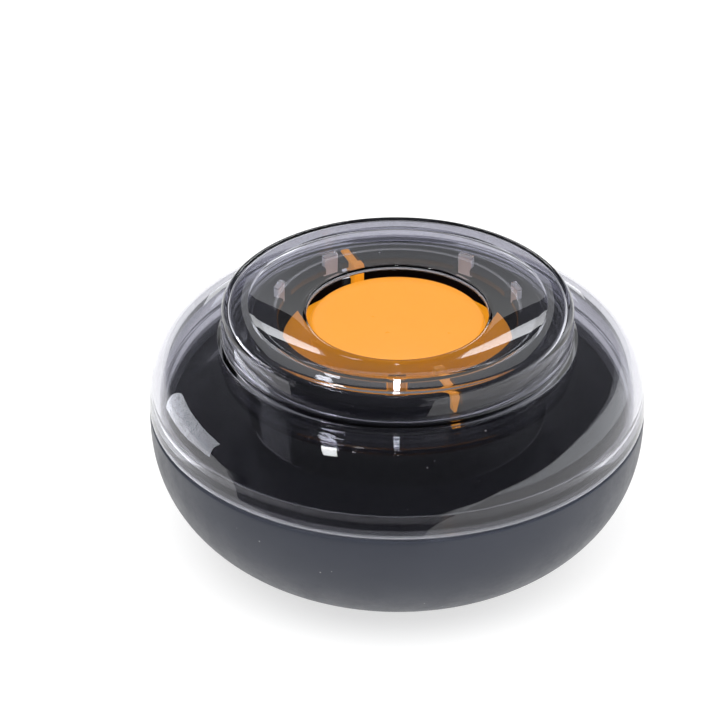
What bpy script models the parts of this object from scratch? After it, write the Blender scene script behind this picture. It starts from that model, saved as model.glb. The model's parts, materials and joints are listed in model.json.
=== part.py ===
"""Round quiz buzzer: a dark bowl-shaped base, a clear domed top with a raised clear collar, and an orange
push button in the collar's dished top. Inside are a black deck with a turret for the button, a circuit board,
a speaker, a microphone and two AAA cells behind a screwed door in the base.

Everything is in metres, +Z up. The origin is on the buzzer's axis, on the surface that its feet stand on.
Each function near the end makes one sub-part or one set of like sub-parts, and returns its objects.
"""

from math import asin, cos, pi, radians, sin

import bmesh
import bpy
from mathutils import Matrix, Vector

MM = 0.001
GAP = 0.3 * MM            # clearance between neighbouring pieces
SHELL_STEPS = 36          # facets round the big shells
PART_STEPS = 20           # facets round middle-sized turned pieces
SMALL_STEPS = 10          # facets round screws, bosses and holes

# the outer form
MAX_RADIUS = 44.0 * MM
FOOT_STAND = 0.8 * MM                       # how far the feet hold the base off the table
BOWL_CUT = 24.6 * MM                        # widest level down to the flat underside
WIDEST_Z = FOOT_STAND + BOWL_CUT
BOWL_DEPTH = 28.69 * MM                     # of the full superellipse, before the flat cuts it
BOWL_POWER = 2.4
DOME_RISE = 14.2 * MM                       # widest level up to the collar's foot
DOME_POWER = 3.0
WALL = 2.0 * MM
FLOOR_Z = FOOT_STAND + WALL
SEAM_LOW = WIDEST_Z + 0.9 * MM              # top of the base's rim
SEAM_HIGH = WIDEST_Z + 1.4 * MM             # foot of the clear dome
COLLAR_RADIUS = 30.9 * MM
COLLAR_FOOT_Z = WIDEST_Z + DOME_RISE + GAP
COLLAR_TOP_Z = WIDEST_Z + 21.74 * MM
OPENING_RADIUS = 16.0 * MM
OPENING_Z = WIDEST_Z + 19.36 * MM
DISH_RADIUS = 25.6 * MM                     # where the dish meets the collar's flat rim
DISH_WALL = 1.2 * MM

# the deck and its turret
DECK_RADIUS = 40.6 * MM
DECK_TOP_Z = WIDEST_Z + 0.1 * MM
DECK_UNDER_Z = DECK_TOP_Z - 1.8 * MM
TURRET_RADIUS = 26.4 * MM
TURRET_TOP_Z = WIDEST_Z + 17.6 * MM
TURRET_LIP_RADIUS = 21.2 * MM
TURRET_LIP = 1.5 * MM
GUIDE_RADIUS = 4.2 * MM                     # bore of the tube that guides the plunger
GUIDE_WALL = 1.6 * MM
GUIDE_TOP_Z = DECK_TOP_Z + 10.0 * MM
KEY_ANGLES = [radians(a) for a in (-68, 112)]
LUG_ANGLES = [radians(a) for a in (21, 57, 123, 159, 270)]

# the button
BUTTON_TRAVEL = 1.5 * MM
SWITCH_TRAVEL = 0.3 * MM
CAP_RADIUS = 15.5 * MM
CAP_TOP_Z = OPENING_Z - 1.7 * MM
CAP_FLANGE_RADIUS = 20.5 * MM
CAP_FLANGE_TOP_Z = WIDEST_Z + 12.8 * MM
CAP_FOOT_Z = CAP_FLANGE_TOP_Z - 1.34 * MM
KEY_FOOT_Z = WIDEST_Z + 13.9 * MM
KEY_TOP_Z = KEY_FOOT_Z + 3.54 * MM
KEY_STOP_Z = OPENING_Z - DISH_WALL - 0.06 * MM   # what holds the button in: a key's root, under the dish
CARRIER_TOP_Z = CAP_TOP_Z - 2.2 * MM
CARRIER_UNDER_Z = CARRIER_TOP_Z - 1.6 * MM
STEM_RADIUS = GUIDE_RADIUS - GAP

# the circuit board and what is on it
BOARD_RADIUS = 28.6 * MM
BOARD_TOP_Z = 18.5 * MM
BOARD_UNDER_Z = BOARD_TOP_Z - 1.2 * MM
SWITCH_SIDE = 6.0 * MM
SWITCH_HEIGHT = 3.4 * MM
SWITCH_BUTTON_RADIUS = 1.7 * MM
SWITCH_BUTTON_STAND = 1.3 * MM
SWITCH_BUTTON_DEPTH = 0.5 * MM
SWITCH_WELL_DEPTH = 1.0 * MM
BOARD_BOSS_REACH = 19.0 * MM                # from the axis
BOARD_BOSS_ANGLES = [radians(a) for a in (30, 150, 270)]
BOARD_BOSSES = [(BOARD_BOSS_REACH * cos(a), BOARD_BOSS_REACH * sin(a)) for a in BOARD_BOSS_ANGLES]

# fixings of the base
POST_REACH = 33.5 * MM                      # from the axis
POST_PLACES = [(POST_REACH * cos(a), POST_REACH * sin(a)) for a in map(radians, (90, 210, 330))]
POST_RADIUS = 3.9 * MM
POST_TOP_Z = 20.0 * MM
POST_BORE = 1.5 * MM
POST_SCREW_TOP_Z = 24.0 * MM
SCREW_SEAT_Z = 8.9 * MM
BOARD_BORE = 1.15 * MM
BOARD_SCREW_REACH = 4.0 * MM                # above the board
FEET = [(21.0 * MM, -8.0 * MM), (-21.0 * MM, -8.0 * MM), (9.5 * MM, 22.4 * MM), (-9.5 * MM, 22.4 * MM)]
FOOT_RADIUS = 2.6 * MM
FOOT_TOP_Z = 1.7 * MM

# the batteries, their tray and door
DOOR_LOW = Vector((-24.1 * MM, -2.6 * MM))
DOOR_HIGH = Vector((24.1 * MM, 19.4 * MM))
DOOR_EAR = (0.0, 22.2 * MM)
DOOR_EAR_RADIUS = 3.0 * MM
TRAY_WALL = 1.2 * MM
TRAY_FOOT_Z = 6.6 * MM
TRAY_TOP_Z = 15.1 * MM
CELL_RADIUS = 5.25 * MM
CELL_LENGTH = 44.5 * MM
CELL_NUB = 0.9 * MM
CELL_Z = FLOOR_Z + 0.5 * MM + CELL_RADIUS
CELL_ROWS = [13.8 * MM, 3.0 * MM]           # Y of each cell's axis

# the speaker, the microphone and the controls in the underside
SPEAKER_AT = (0.0, -18.2 * MM)
SPEAKER_RADIUS = 13.5 * MM
SPEAKER_Z = 5.9 * MM
RECORD_AT = (18.5 * MM, -15.5 * MM)
RECORD_TRAVEL = 1.0 * MM
RECORD_RADIUS = 2.6 * MM
POWER_AT = (-18.5 * MM, -15.5 * MM)
POWER_TRAVEL = 2.0 * MM
POWER_BODY = Vector((4.4 * MM, 9.0 * MM, 3.8 * MM))
POWER_BODY_Z = FLOOR_Z + 1.5 * MM
MIC_AT = (17.5 * MM, -26.5 * MM)
MIC_RADIUS = 3.0 * MM
MIC_Z = 6.0 * MM
LEAD_RADIUS = 0.4 * MM


def material(name, colour, roughness, metallic=0.0, transmission=0.0):
    made = bpy.data.materials.new(name)
    made.use_nodes = True
    shader = made.node_tree.nodes["Principled BSDF"]
    shader.inputs["Base Color"].default_value = (*colour, 1.0)
    shader.inputs["Roughness"].default_value = roughness
    shader.inputs["Metallic"].default_value = metallic
    shader.inputs["Transmission Weight"].default_value = transmission
    return made


def object_of(name, shape, at=(0.0, 0.0, 0.0)):
    """An object from a bmesh, with its faces pointing out and round faces shaded smooth."""
    bmesh.ops.recalc_face_normals(shape, faces=shape.faces)
    mesh = bpy.data.meshes.new(name)
    shape.to_mesh(mesh)
    shape.free()
    made = bpy.data.objects.new(name, mesh)
    made.location = at
    bpy.context.scene.collection.objects.link(made)
    return made


def turned(name, profile, at=(0.0, 0.0), steps=SHELL_STEPS, axis="Z"):
    """A closed outline of (radius, height) points, spun about the vertical through at, or about X."""
    shape = bmesh.new()
    points = [shape.verts.new((r, 0.0, z)) for r, z in profile]
    edges = [shape.edges.new((a, b)) for a, b in zip(points, points[1:] + points[:1])]
    on_axis = [e for e in edges if max(v.co.x for v in e.verts) < 1e-9]
    for edge in on_axis:
        shape.edges.remove(edge)
    bmesh.ops.spin(
        shape, geom=shape.verts[:] + shape.edges[:], cent=(0, 0, 0), axis=(0, 0, 1),
        dvec=(0, 0, 0), angle=2 * pi, steps=steps, use_merge=True, use_duplicate=False,
    )
    bmesh.ops.remove_doubles(shape, verts=shape.verts, dist=1e-6)
    if axis == "X":
        bmesh.ops.rotate(shape, verts=shape.verts, cent=(0, 0, 0), matrix=Matrix.Rotation(pi / 2, 3, "Y"))
    return object_of(name, shape, (*at, 0.0)[:3])


def rod(radius, low, high, at=(0.0, 0.0), steps=SMALL_STEPS, name="rod"):
    return turned(name, [(0, low), (radius, low), (radius, high), (0, high)], at, steps)


def tube(bore, radius, low, high, at=(0.0, 0.0), steps=SMALL_STEPS):
    return turned("tube", [(bore, low), (radius, low), (radius, high), (bore, high)], at, steps)


def block(low, high, angle=0.0, name="block"):
    """A box between two corners, then turned by angle about the buzzer's axis."""
    shape = bmesh.new()
    bmesh.ops.create_cube(shape, size=1.0)
    low, high = Vector(low), Vector(high)
    bmesh.ops.scale(shape, vec=high - low, verts=shape.verts)
    bmesh.ops.translate(shape, vec=(low + high) / 2, verts=shape.verts)
    bmesh.ops.rotate(shape, cent=(0, 0, 0), matrix=Matrix.Rotation(angle, 3, "Z"), verts=shape.verts)
    return object_of(name, shape)


def combine(target, tools, operation, solver="EXACT"):
    """Applies Booleans with each tool in turn, and removes the tools."""
    for tool in tools:
        change = target.modifiers.new("combine", "BOOLEAN")
        change.solver = solver
        change.operation = operation
        change.object = tool
    bpy.context.view_layer.update()
    depsgraph = bpy.context.evaluated_depsgraph_get()
    mesh = bpy.data.meshes.new_from_object(target.evaluated_get(depsgraph))
    target.modifiers.clear()
    target.data = mesh
    for tool in tools:
        bpy.data.objects.remove(tool)
    return target


def add(target, *tools, solver="EXACT"):
    return combine(target, tools, "UNION", solver)


def cut(target, *tools, solver="EXACT"):
    return combine(target, tools, "DIFFERENCE", solver)


def wire(name, points, radius):
    """A round wire along a list of points."""
    curve = bpy.data.curves.new(name, "CURVE")
    curve.dimensions = "3D"
    curve.bevel_depth = radius
    curve.bevel_resolution = 0
    curve.use_fill_caps = True
    spline = curve.splines.new("POLY")
    spline.points.add(len(points) - 1)
    for point, place in zip(spline.points, points):
        point.co = (*place, 1.0)
    made = bpy.data.objects.new(name, curve)
    bpy.context.scene.collection.objects.link(made)
    return made


def coil_points(foot, rise, start_radius, end_radius, turns, per_turn=12):
    """Points of a helix from foot along the vector rise."""
    foot, rise = Vector(foot), Vector(rise)
    along = rise.normalized()
    side = along.orthogonal().normalized()
    other = along.cross(side)
    count = int(turns * per_turn)
    points = []
    for i in range(count + 1):
        share = i / count
        angle = 2 * pi * turns * share
        radius = start_radius + (end_radius - start_radius) * share
        points.append(foot + rise * share + radius * (cos(angle) * side + sin(angle) * other))
    return points


def smooth_route(knots, per_span=3):
    """Points on a Catmull-Rom curve through the knots."""
    knots = [Vector(k) for k in knots]
    padded = [2 * knots[0] - knots[1], *knots, 2 * knots[-1] - knots[-2]]
    points = []
    for a, b, c, d in zip(padded, padded[1:], padded[2:], padded[3:]):
        for i in range(per_span):
            t = i / per_span
            bend = (2 * a - 5 * b + 4 * c - d) * t * t + (3 * b - a - 3 * c + d) * t ** 3
            points.append(0.5 * (2 * b + (c - a) * t + bend))
    return points + [knots[-1]]


def bowl_curve(inset, steps=6):
    """The bowl's side from its flat underside up to the widest level, moved in by inset."""
    radius, depth = MAX_RADIUS - inset, BOWL_DEPTH - inset
    last = asin(min(1.0, (BOWL_CUT - inset) / depth) ** (BOWL_POWER / 2))
    angles = [last * (1 - i / steps) for i in range(steps + 1)]
    power = 2 / BOWL_POWER
    return [(radius * cos(t) ** power, WIDEST_Z - depth * sin(t) ** power) for t in angles]


def dome_curve(inset, low, steps=6):
    """The dome's side from height low up to the collar's foot, moved in by inset."""
    reach = MAX_RADIUS - COLLAR_RADIUS
    rise = DOME_RISE - inset
    power = 2 / DOME_POWER
    first = asin(((low - WIDEST_Z) / rise) ** (DOME_POWER / 2))
    angles = [first + (pi / 2 - first) * i / steps for i in range(steps + 1)]
    return [
        (COLLAR_RADIUS + (reach - inset) * cos(t) ** power, WIDEST_Z + rise * sin(t) ** power) for t in angles
    ]


def dish_curve(drop, inner, outer, steps=3):
    """The collar's dished top from its opening out to its rim, moved down by drop."""
    rise = COLLAR_TOP_Z - 0.25 * MM - OPENING_Z
    points = []
    for i in range(steps + 1):
        radius = inner + (outer - inner) * i / steps
        share = max(0.0, (radius - OPENING_RADIUS) / (DISH_RADIUS - OPENING_RADIUS))
        points.append((radius, OPENING_Z + rise * share ** 1.6 - drop))
    return points


def arc(centre, radius, start, end, steps=2):
    """Points of an arc in a profile, from start to end in degrees."""
    angles = [radians(start + (end - start) * i / steps) for i in range(steps + 1)]
    return [(centre[0] + radius * cos(a), centre[1] + radius * sin(a)) for a in angles]


def door_outline(grow, low, high, ear_radius):
    """The battery door's plan as tall solids: a rectangle and the ear that its screw goes through."""
    corner_low = (DOOR_LOW.x - grow, DOOR_LOW.y - grow, low)
    corner_high = (DOOR_HIGH.x + grow, DOOR_HIGH.y + grow, high)
    plate = block(corner_low, corner_high)
    ear = rod(ear_radius + grow, low, high, DOOR_EAR, PART_STEPS)
    return add(plate, ear)


def bowl_shell(name):
    """The bowl's wall and floor, with the ledge inside its rim that the deck rests on."""
    rim_inner = MAX_RADIUS - 1.6 * MM
    rim = [(MAX_RADIUS, SEAM_LOW - 0.2 * MM), (MAX_RADIUS - 0.2 * MM, SEAM_LOW), (rim_inner, SEAM_LOW)]
    ledge_z = DECK_UNDER_Z - GAP
    ledge_inner = DECK_RADIUS - 1.6 * MM
    ledge = [(rim_inner, ledge_z), (ledge_inner, ledge_z), (ledge_inner, ledge_z - 1.4 * MM)]
    inner = [p for p in reversed(bowl_curve(WALL)) if p[1] < ledge_z - 3.5 * MM]
    outline = [(0, FOOT_STAND), *bowl_curve(0.0), *rim, *ledge, *inner, (0, FLOOR_Z)]
    return turned(name, outline)


def base_bowl():
    """The lower shell, with its posts, speaker seat, control guides, and the openings in its floor.

    EXACT leaves holes where a foot's well meets the flat underside, so this one uses MANIFOLD."""
    bowl = bowl_shell("base_bowl")
    posts = [rod(POST_RADIUS, 2.0 * MM, POST_TOP_Z, at) for at in POST_PLACES]
    seat = tube(12.0 * MM, 13.3 * MM, 2.4 * MM, SPEAKER_Z - GAP, SPEAKER_AT, PART_STEPS)
    record_guide = tube(3.6 * MM, 4.5 * MM, 2.4 * MM, 8.0 * MM, RECORD_AT)
    mic_seat = rod(MIC_RADIUS + 1.1 * MM, 2.0 * MM, MIC_Z + 2.2 * MM, MIC_AT)
    rib_x = POWER_AT[0] - POWER_BODY.x / 2, POWER_AT[0] + POWER_BODY.x / 2
    rib_y = POWER_BODY.y / 2 + GAP
    ribs = [
        block(
            (rib_x[0], POWER_AT[1] + side * rib_y - (1.0 * MM if side < 0 else 0), 2.0 * MM),
            (rib_x[1], POWER_AT[1] + side * rib_y + (1.0 * MM if side > 0 else 0), 7.4 * MM),
        )
        for side in (-1, 1)
    ]
    fittings = [*posts, seat, record_guide, mic_seat, *ribs]
    for fitting in fittings:
        inside = turned("inside", [(0, FOOT_STAND + 0.6 * MM), *bowl_curve(0.6 * MM), (0, WIDEST_Z)])
        combine(fitting, [inside], "INTERSECT")
    add(bowl, *fittings, solver="MANIFOLD")

    wells = [rod(2.8 * MM, -1.0 * MM, SCREW_SEAT_Z, at) for at in POST_PLACES]
    bores = [rod(POST_BORE, SCREW_SEAT_Z - 1.0 * MM, POST_TOP_Z + 1.0 * MM, at) for at in POST_PLACES]
    foot_wells = [rod(FOOT_RADIUS + GAP, -1.0 * MM, FOOT_TOP_Z + GAP, at) for at in FEET]
    slots = []
    for row in (-8, -4, 0, 4, 8):
        half = (10.0 - abs(row) * 0.45) * MM
        y = SPEAKER_AT[1] + row * MM
        slots.append(block((-half, y - 0.9 * MM, -1.0 * MM), (half, y + 0.9 * MM, SPEAKER_Z - 1.0 * MM)))
    record_hole = rod(RECORD_RADIUS + GAP, -1.0 * MM, 4.0 * MM, RECORD_AT)
    mic_hole = rod(0.8 * MM, -1.0 * MM, MIC_Z + 1.0 * MM, MIC_AT)
    mic_room = rod(MIC_RADIUS + GAP, MIC_Z - GAP, MIC_Z + 4.0 * MM, MIC_AT)
    power_x, power_y = 1.0 * MM + GAP, 1.5 * MM + GAP
    power_slot = block(
        (POWER_AT[0] - power_x, POWER_AT[1] - power_y, -1.0 * MM),
        (POWER_AT[0] + power_x, POWER_AT[1] + power_y + POWER_TRAVEL, 4.0 * MM),
    )
    door_hole = door_outline(GAP, -1.0 * MM, 5.6 * MM, DOOR_EAR_RADIUS)
    holes = [*wells, *bores, *foot_wells, *slots, record_hole, mic_hole, mic_room, power_slot, door_hole]
    cut(bowl, *holes, solver="MANIFOLD")

    # a boss for the door's screw stands over the door's ear, on a rib from the post behind it
    boss_low, boss_high = FLOOR_Z + GAP, TRAY_FOOT_Z - GAP
    boss = rod(2.6 * MM, boss_low, boss_high, DOOR_EAR, PART_STEPS)
    rib = block((-1.2 * MM, DOOR_EAR[1], boss_low), (1.2 * MM, POST_REACH - 2.5 * MM, boss_high))
    add(bowl, boss, rib, solver="MANIFOLD")
    bore = rod(1.2 * MM, boss_low - 1.0 * MM, boss_high + 1.0 * MM, DOOR_EAR)
    return [cut(bowl, bore, solver="MANIFOLD")]


def battery_door():
    door = bowl_shell("battery_door")
    plan = door_outline(0.0, -1.0 * MM, 5.0 * MM, DOOR_EAR_RADIUS)
    combine(door, [plan], "INTERSECT")
    hole = rod(1.2 * MM, -1.0 * MM, 4.0 * MM, DOOR_EAR)
    sink = rod(2.2 * MM, -1.0 * MM, 1.9 * MM, DOOR_EAR)
    return [cut(door, hole, sink)]


def screw(name, at, seat, head_radius, head_height, shank_radius, shank_high):
    """A pan-head screw driven upwards from below: its head ends at seat, and has a cross recess."""
    head_low = seat - head_height
    outline = [
        (0, head_low), (head_radius * 0.7, head_low), (head_radius, head_low + head_height * 0.4),
        (head_radius, seat), (shank_radius, seat), (shank_radius, shank_high - shank_radius),
        (0.2 * MM, shank_high), (0, shank_high),
    ]
    made = turned(name, outline, at, SMALL_STEPS)
    arm, half = head_radius * 0.6, head_radius * 0.13
    low, high = head_low - 1.0 * MM, head_low + head_height * 0.55
    sizes = ((arm, half), (half, arm))
    recess = [block((at[0] - x, at[1] - y, low), (at[0] + x, at[1] + y, high)) for x, y in sizes]
    return cut(made, *recess)


def fixings():
    """The housing screws, the board screws and the battery door's screw."""
    head, shank = 1.6 * MM, POST_BORE - GAP
    housing = [
        screw(f"housing_screw_{i + 1}", at, SCREW_SEAT_Z - GAP, 2.3 * MM, head, shank, POST_SCREW_TOP_Z)
        for i, at in enumerate(POST_PLACES)
    ]
    head, shank, top = 1.1 * MM, BOARD_BORE - GAP, BOARD_TOP_Z + BOARD_SCREW_REACH
    board = [
        screw(f"board_screw_{i + 1}", at, BOARD_UNDER_Z - GAP, 1.9 * MM, head, shank, top)
        for i, at in enumerate(BOARD_BOSSES)
    ]
    door = screw("battery_door_screw", DOOR_EAR, 1.6 * MM, 1.9 * MM, 0.7 * MM, 0.9 * MM, 5.8 * MM)
    return housing + board + [door]


def rubber_feet():
    radius, edge = FOOT_RADIUS, 0.3 * MM
    outline = [(0, 0), (radius - edge, 0), (radius, edge), (radius, FOOT_TOP_Z), (0, FOOT_TOP_Z)]
    return [turned(f"rubber_foot_{i + 1}", outline, at, PART_STEPS // 2) for i, at in enumerate(FEET)]


def inner_deck():
    """The black deck that closes the bowl, its turret round the button, and the plunger's guide."""
    wall = TURRET_RADIUS - WALL
    lip_under = TURRET_TOP_Z - TURRET_LIP
    outline = [
        (GUIDE_RADIUS, DECK_UNDER_Z), (GUIDE_RADIUS, GUIDE_TOP_Z), (GUIDE_RADIUS + GUIDE_WALL, GUIDE_TOP_Z),
        (GUIDE_RADIUS + GUIDE_WALL, DECK_TOP_Z), (wall, DECK_TOP_Z), (wall, lip_under),
        (TURRET_LIP_RADIUS, lip_under), (TURRET_LIP_RADIUS, TURRET_TOP_Z),
        (TURRET_RADIUS - 0.6 * MM, TURRET_TOP_Z), (TURRET_RADIUS, TURRET_TOP_Z - 0.6 * MM),
        (TURRET_RADIUS, DECK_TOP_Z + 1.0 * MM),
        (TURRET_RADIUS + 1.0 * MM, DECK_TOP_Z), (DECK_RADIUS - 0.4 * MM, DECK_TOP_Z),
        (DECK_RADIUS, DECK_TOP_Z - 0.4 * MM), (DECK_RADIUS, DECK_UNDER_Z),
    ]
    deck = turned("inner_deck", outline)
    inside_deck = DECK_TOP_Z - 0.5 * MM
    bosses = [rod(3.4 * MM, POST_TOP_Z + GAP, inside_deck, at) for at in POST_PLACES]
    board_bosses = [rod(2.4 * MM, BOARD_TOP_Z + GAP, inside_deck, at) for at in BOARD_BOSSES]
    add(deck, *bosses, *board_bosses)
    bores = [rod(POST_BORE, POST_TOP_Z - 1.0 * MM, POST_SCREW_TOP_Z + 0.4 * MM, at) for at in POST_PLACES]
    board_screw_top = BOARD_TOP_Z + BOARD_SCREW_REACH + 0.4 * MM
    board_bores = [rod(BOARD_BORE, BOARD_TOP_Z - 1.0 * MM, board_screw_top, at) for at in BOARD_BOSSES]
    key_low = KEY_FOOT_Z - BUTTON_TRAVEL - 0.8 * MM
    bore, above = TURRET_LIP_RADIUS - GAP, TURRET_TOP_Z + 1.0 * MM
    key_slots = [
        block((bore, -1.1 * MM, key_low), (TURRET_RADIUS + 1.0 * MM, 1.1 * MM, above), a) for a in KEY_ANGLES
    ]
    lug_notches = [
        block((bore, -1.8 * MM, lip_under - 1.0 * MM), (23.5 * MM, 1.8 * MM, above), a) for a in LUG_ANGLES
    ]
    return [cut(deck, *bores, *board_bores, *key_slots, *lug_notches)]


def clear_dome():
    """The clear upper shell: a thick foot at the seam, and a wide hole that the collar stands in."""
    step_z = WIDEST_Z + 4.6 * MM
    spigot_z = SEAM_HIGH - 2.6 * MM
    bore = DECK_RADIUS + 0.4 * MM
    spigot_radius = bore + 1.1 * MM
    spigot = [(bore, spigot_z), (spigot_radius, spigot_z), (spigot_radius, SEAM_HIGH)]
    edge = (MAX_RADIUS - 0.15 * MM, SEAM_HIGH)
    hole = COLLAR_RADIUS - 1.3 * MM
    outer = dome_curve(0.0, SEAM_HIGH + 0.2 * MM)
    inner = list(reversed(dome_curve(WALL, step_z + 0.4 * MM)))
    outline = [*spigot, edge, *outer, (hole, outer[-1][1]), (hole, inner[0][1]), *inner, (bore, step_z)]
    return [turned("clear_dome", outline)]


def clear_collar():
    """The clear collar: its wall, rolled rim and dished top with its opening, and the snap lugs."""
    inner = COLLAR_RADIUS - WALL
    foot = COLLAR_FOOT_Z
    rim = 1.1 * MM
    outline = [
        (27.9 * MM, foot - 1.7 * MM), (29.3 * MM, foot - 1.7 * MM), (29.3 * MM, foot),
        (COLLAR_RADIUS + 0.8 * MM, foot), (COLLAR_RADIUS + 0.8 * MM, foot + 0.4 * MM),
        (COLLAR_RADIUS, foot + 1.0 * MM),
        *arc((COLLAR_RADIUS - rim, COLLAR_TOP_Z - rim), rim, 0, 90),
        (DISH_RADIUS + 0.8 * MM, COLLAR_TOP_Z),
        *reversed(dish_curve(0.0, OPENING_RADIUS + 0.5 * MM, DISH_RADIUS)),
        (OPENING_RADIUS, OPENING_Z - 0.2 * MM), (OPENING_RADIUS, OPENING_Z - 0.85 * MM),
        *dish_curve(DISH_WALL, OPENING_RADIUS + 1.0 * MM, DISH_RADIUS - 0.4 * MM),
        (27.4 * MM, COLLAR_TOP_Z - 1.9 * MM), (28.2 * MM, COLLAR_TOP_Z - 1.9 * MM),
        (inner, COLLAR_TOP_Z - 2.6 * MM), (inner, foot + 1.1 * MM), (27.9 * MM, foot + 0.1 * MM),
    ]
    collar = turned("clear_collar", outline)
    lip_under = TURRET_TOP_Z - TURRET_LIP
    lugs = []
    for a in LUG_ANGLES:
        half = 1.5 * MM
        leg = block((22.2 * MM, -half, lip_under - 0.9 * MM), (23.2 * MM, half, OPENING_Z + 0.5 * MM), a)
        half = 1.4 * MM
        hook = block((22.3 * MM, -half, lip_under - 0.8 * MM), (23.9 * MM, half, lip_under - GAP), a)
        lugs.append(add(leg, hook))
    return [add(collar, *lugs)]


def button_cap():
    """The orange cap: a finger disc on a column, its flange, and two keys that guide it and hold it in."""
    edge = 0.8 * MM
    inside = 14.0 * MM
    outline = [
        (0, CAP_TOP_Z - 0.4 * MM), (5.0 * MM, CAP_TOP_Z - 0.35 * MM), (10.0 * MM, CAP_TOP_Z - 0.2 * MM),
        *reversed(arc((CAP_RADIUS - edge, CAP_TOP_Z - edge), edge, 0, 90)),
        (CAP_RADIUS, CAP_FLANGE_TOP_Z), (CAP_FLANGE_RADIUS - 0.3 * MM, CAP_FLANGE_TOP_Z),
        (CAP_FLANGE_RADIUS, CAP_FLANGE_TOP_Z - 0.3 * MM), (CAP_FLANGE_RADIUS, CAP_FOOT_Z),
        (inside, CAP_FOOT_Z), (inside, CAP_TOP_Z - 1.9 * MM), (0, CAP_TOP_Z - 1.9 * MM),
    ]
    cap = turned("button_cap", outline)
    keys = []
    for a in KEY_ANGLES:
        inner, outer = CAP_FLANGE_RADIUS - 0.5 * MM, TURRET_RADIUS - GAP
        key = block((inner, -0.8 * MM, KEY_FOOT_Z), (outer, 0.8 * MM, KEY_TOP_Z))
        for vertex in key.data.vertices:
            if vertex.co.z < KEY_FOOT_Z + 0.1 * MM:
                vertex.co.y *= 0.45
        key.data.transform(Matrix.Rotation(a, 4, "Z"))
        root_low = (CAP_FLANGE_RADIUS - 1.9 * MM, -1.0 * MM, CAP_FLANGE_TOP_Z - 0.7 * MM)
        root = block(root_low, (CAP_FLANGE_RADIUS - 0.1 * MM, 1.0 * MM, KEY_STOP_Z), a)
        keys += [key, root]
    return [add(cap, *keys)]


def button_plunger():
    """The carrier disc under the cap and the stem that presses the switch."""
    switch_top = BOARD_TOP_Z + GAP + SWITCH_HEIGHT + SWITCH_BUTTON_STAND
    stem_foot = switch_top + BUTTON_TRAVEL - SWITCH_TRAVEL + 0.05 * MM
    outline = [
        (0, stem_foot), (STEM_RADIUS - 0.4 * MM, stem_foot), (STEM_RADIUS, stem_foot + 0.4 * MM),
        (STEM_RADIUS, CARRIER_UNDER_Z), (13.6 * MM, CARRIER_UNDER_Z), (13.6 * MM, CARRIER_TOP_Z),
        (0, CARRIER_TOP_Z),
    ]
    return [turned("button_plunger", outline, steps=PART_STEPS)]


def return_spring():
    gauge = 0.45 * MM
    low = DECK_TOP_Z + GAP + gauge
    high = CARRIER_UNDER_Z - GAP - gauge
    coil = coil_points((0, 0, low), (0, 0, high - low), 7.4 * MM, 7.4 * MM, 5.5)
    return [wire("return_spring", coil, gauge)]


def circuit_board():
    board = rod(BOARD_RADIUS, BOARD_UNDER_Z, BOARD_TOP_Z, name="circuit_board")
    holes = [rod(BOARD_BORE, BOARD_UNDER_Z - 1.0 * MM, BOARD_TOP_Z + 1.0 * MM, at) for at in BOARD_BOSSES]
    return [cut(board, *holes)]


def push_switch(name, at, foot_z, up):
    """A square push switch and its round button. up is 1 where it faces up and -1 where it faces down."""
    x, y = at
    half = SWITCH_SIDE / 2
    face_z = foot_z + up * SWITCH_HEIGHT
    low, high = sorted((foot_z, face_z))
    body = block((x - half, y - half, low), (x + half, y + half, high), name=f"{name}_body")
    well_z = face_z - up * SWITCH_WELL_DEPTH
    low, high = sorted((well_z, face_z + up * 1.0 * MM))
    cut(body, rod(SWITCH_BUTTON_RADIUS + GAP, low, high, at))
    low, high = sorted((face_z - up * SWITCH_BUTTON_DEPTH, face_z + up * SWITCH_BUTTON_STAND))
    return [body, rod(SWITCH_BUTTON_RADIUS, low, high, at, name=f"{name}_button")]


def board_parts():
    """The sound chip under its round blob, a capacitor and three resistors on the board."""
    foot = BOARD_TOP_Z + GAP
    blob = [(4.6 * MM, 0), (4.4 * MM, 0.6 * MM), (3.2 * MM, 1.3 * MM), (0, 1.7 * MM)]
    outline = [(0, foot), *((r, foot + z) for r, z in blob)]
    chip = turned("sound_chip", outline, (-9.0 * MM, 5.0 * MM), PART_STEPS)
    radius, length = 2.0 * MM, 7.0 * MM
    can = [
        (0, 0), (radius - 0.2 * MM, 0), (radius, 0.2 * MM), (radius, 1.0 * MM),
        (radius - 0.25 * MM, 1.3 * MM),
        (radius, 1.6 * MM), (radius, length), (0, length),
    ]
    capacitor = turned("capacitor", can, (5.0 * MM, 9.0 * MM, foot + radius), SMALL_STEPS, axis="X")
    resistors = []
    for i in range(3):
        x, y = 8.0 * MM, (-6.0 - 2.4 * i) * MM
        low = (x - 1.0 * MM, y - 0.6 * MM, foot)
        high = (x + 1.0 * MM, y + 0.6 * MM, foot + 0.6 * MM)
        resistors.append(block(low, high, name=f"resistor_{i + 1}"))
    return [chip, capacitor, *resistors]


def record_button():
    """The recessed button in the underside that starts a recording, with a stem up to the board's switch."""
    switch_face = BOARD_UNDER_Z - GAP - SWITCH_HEIGHT - SWITCH_BUTTON_STAND
    stem_top = switch_face - (RECORD_TRAVEL - SWITCH_TRAVEL + 0.05 * MM)
    low, flange = 1.1 * MM, FLOOR_Z + 0.9 * MM
    outline = [
        (0, low), (RECORD_RADIUS - 0.3 * MM, low), (RECORD_RADIUS, low + 0.3 * MM), (RECORD_RADIUS, flange),
        (3.3 * MM, flange), (3.3 * MM, flange + 1.0 * MM), (1.6 * MM, flange + 1.6 * MM),
        (1.6 * MM, stem_top), (0, stem_top),
    ]
    return [turned("record_button", outline, RECORD_AT, PART_STEPS // 2)]


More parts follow.
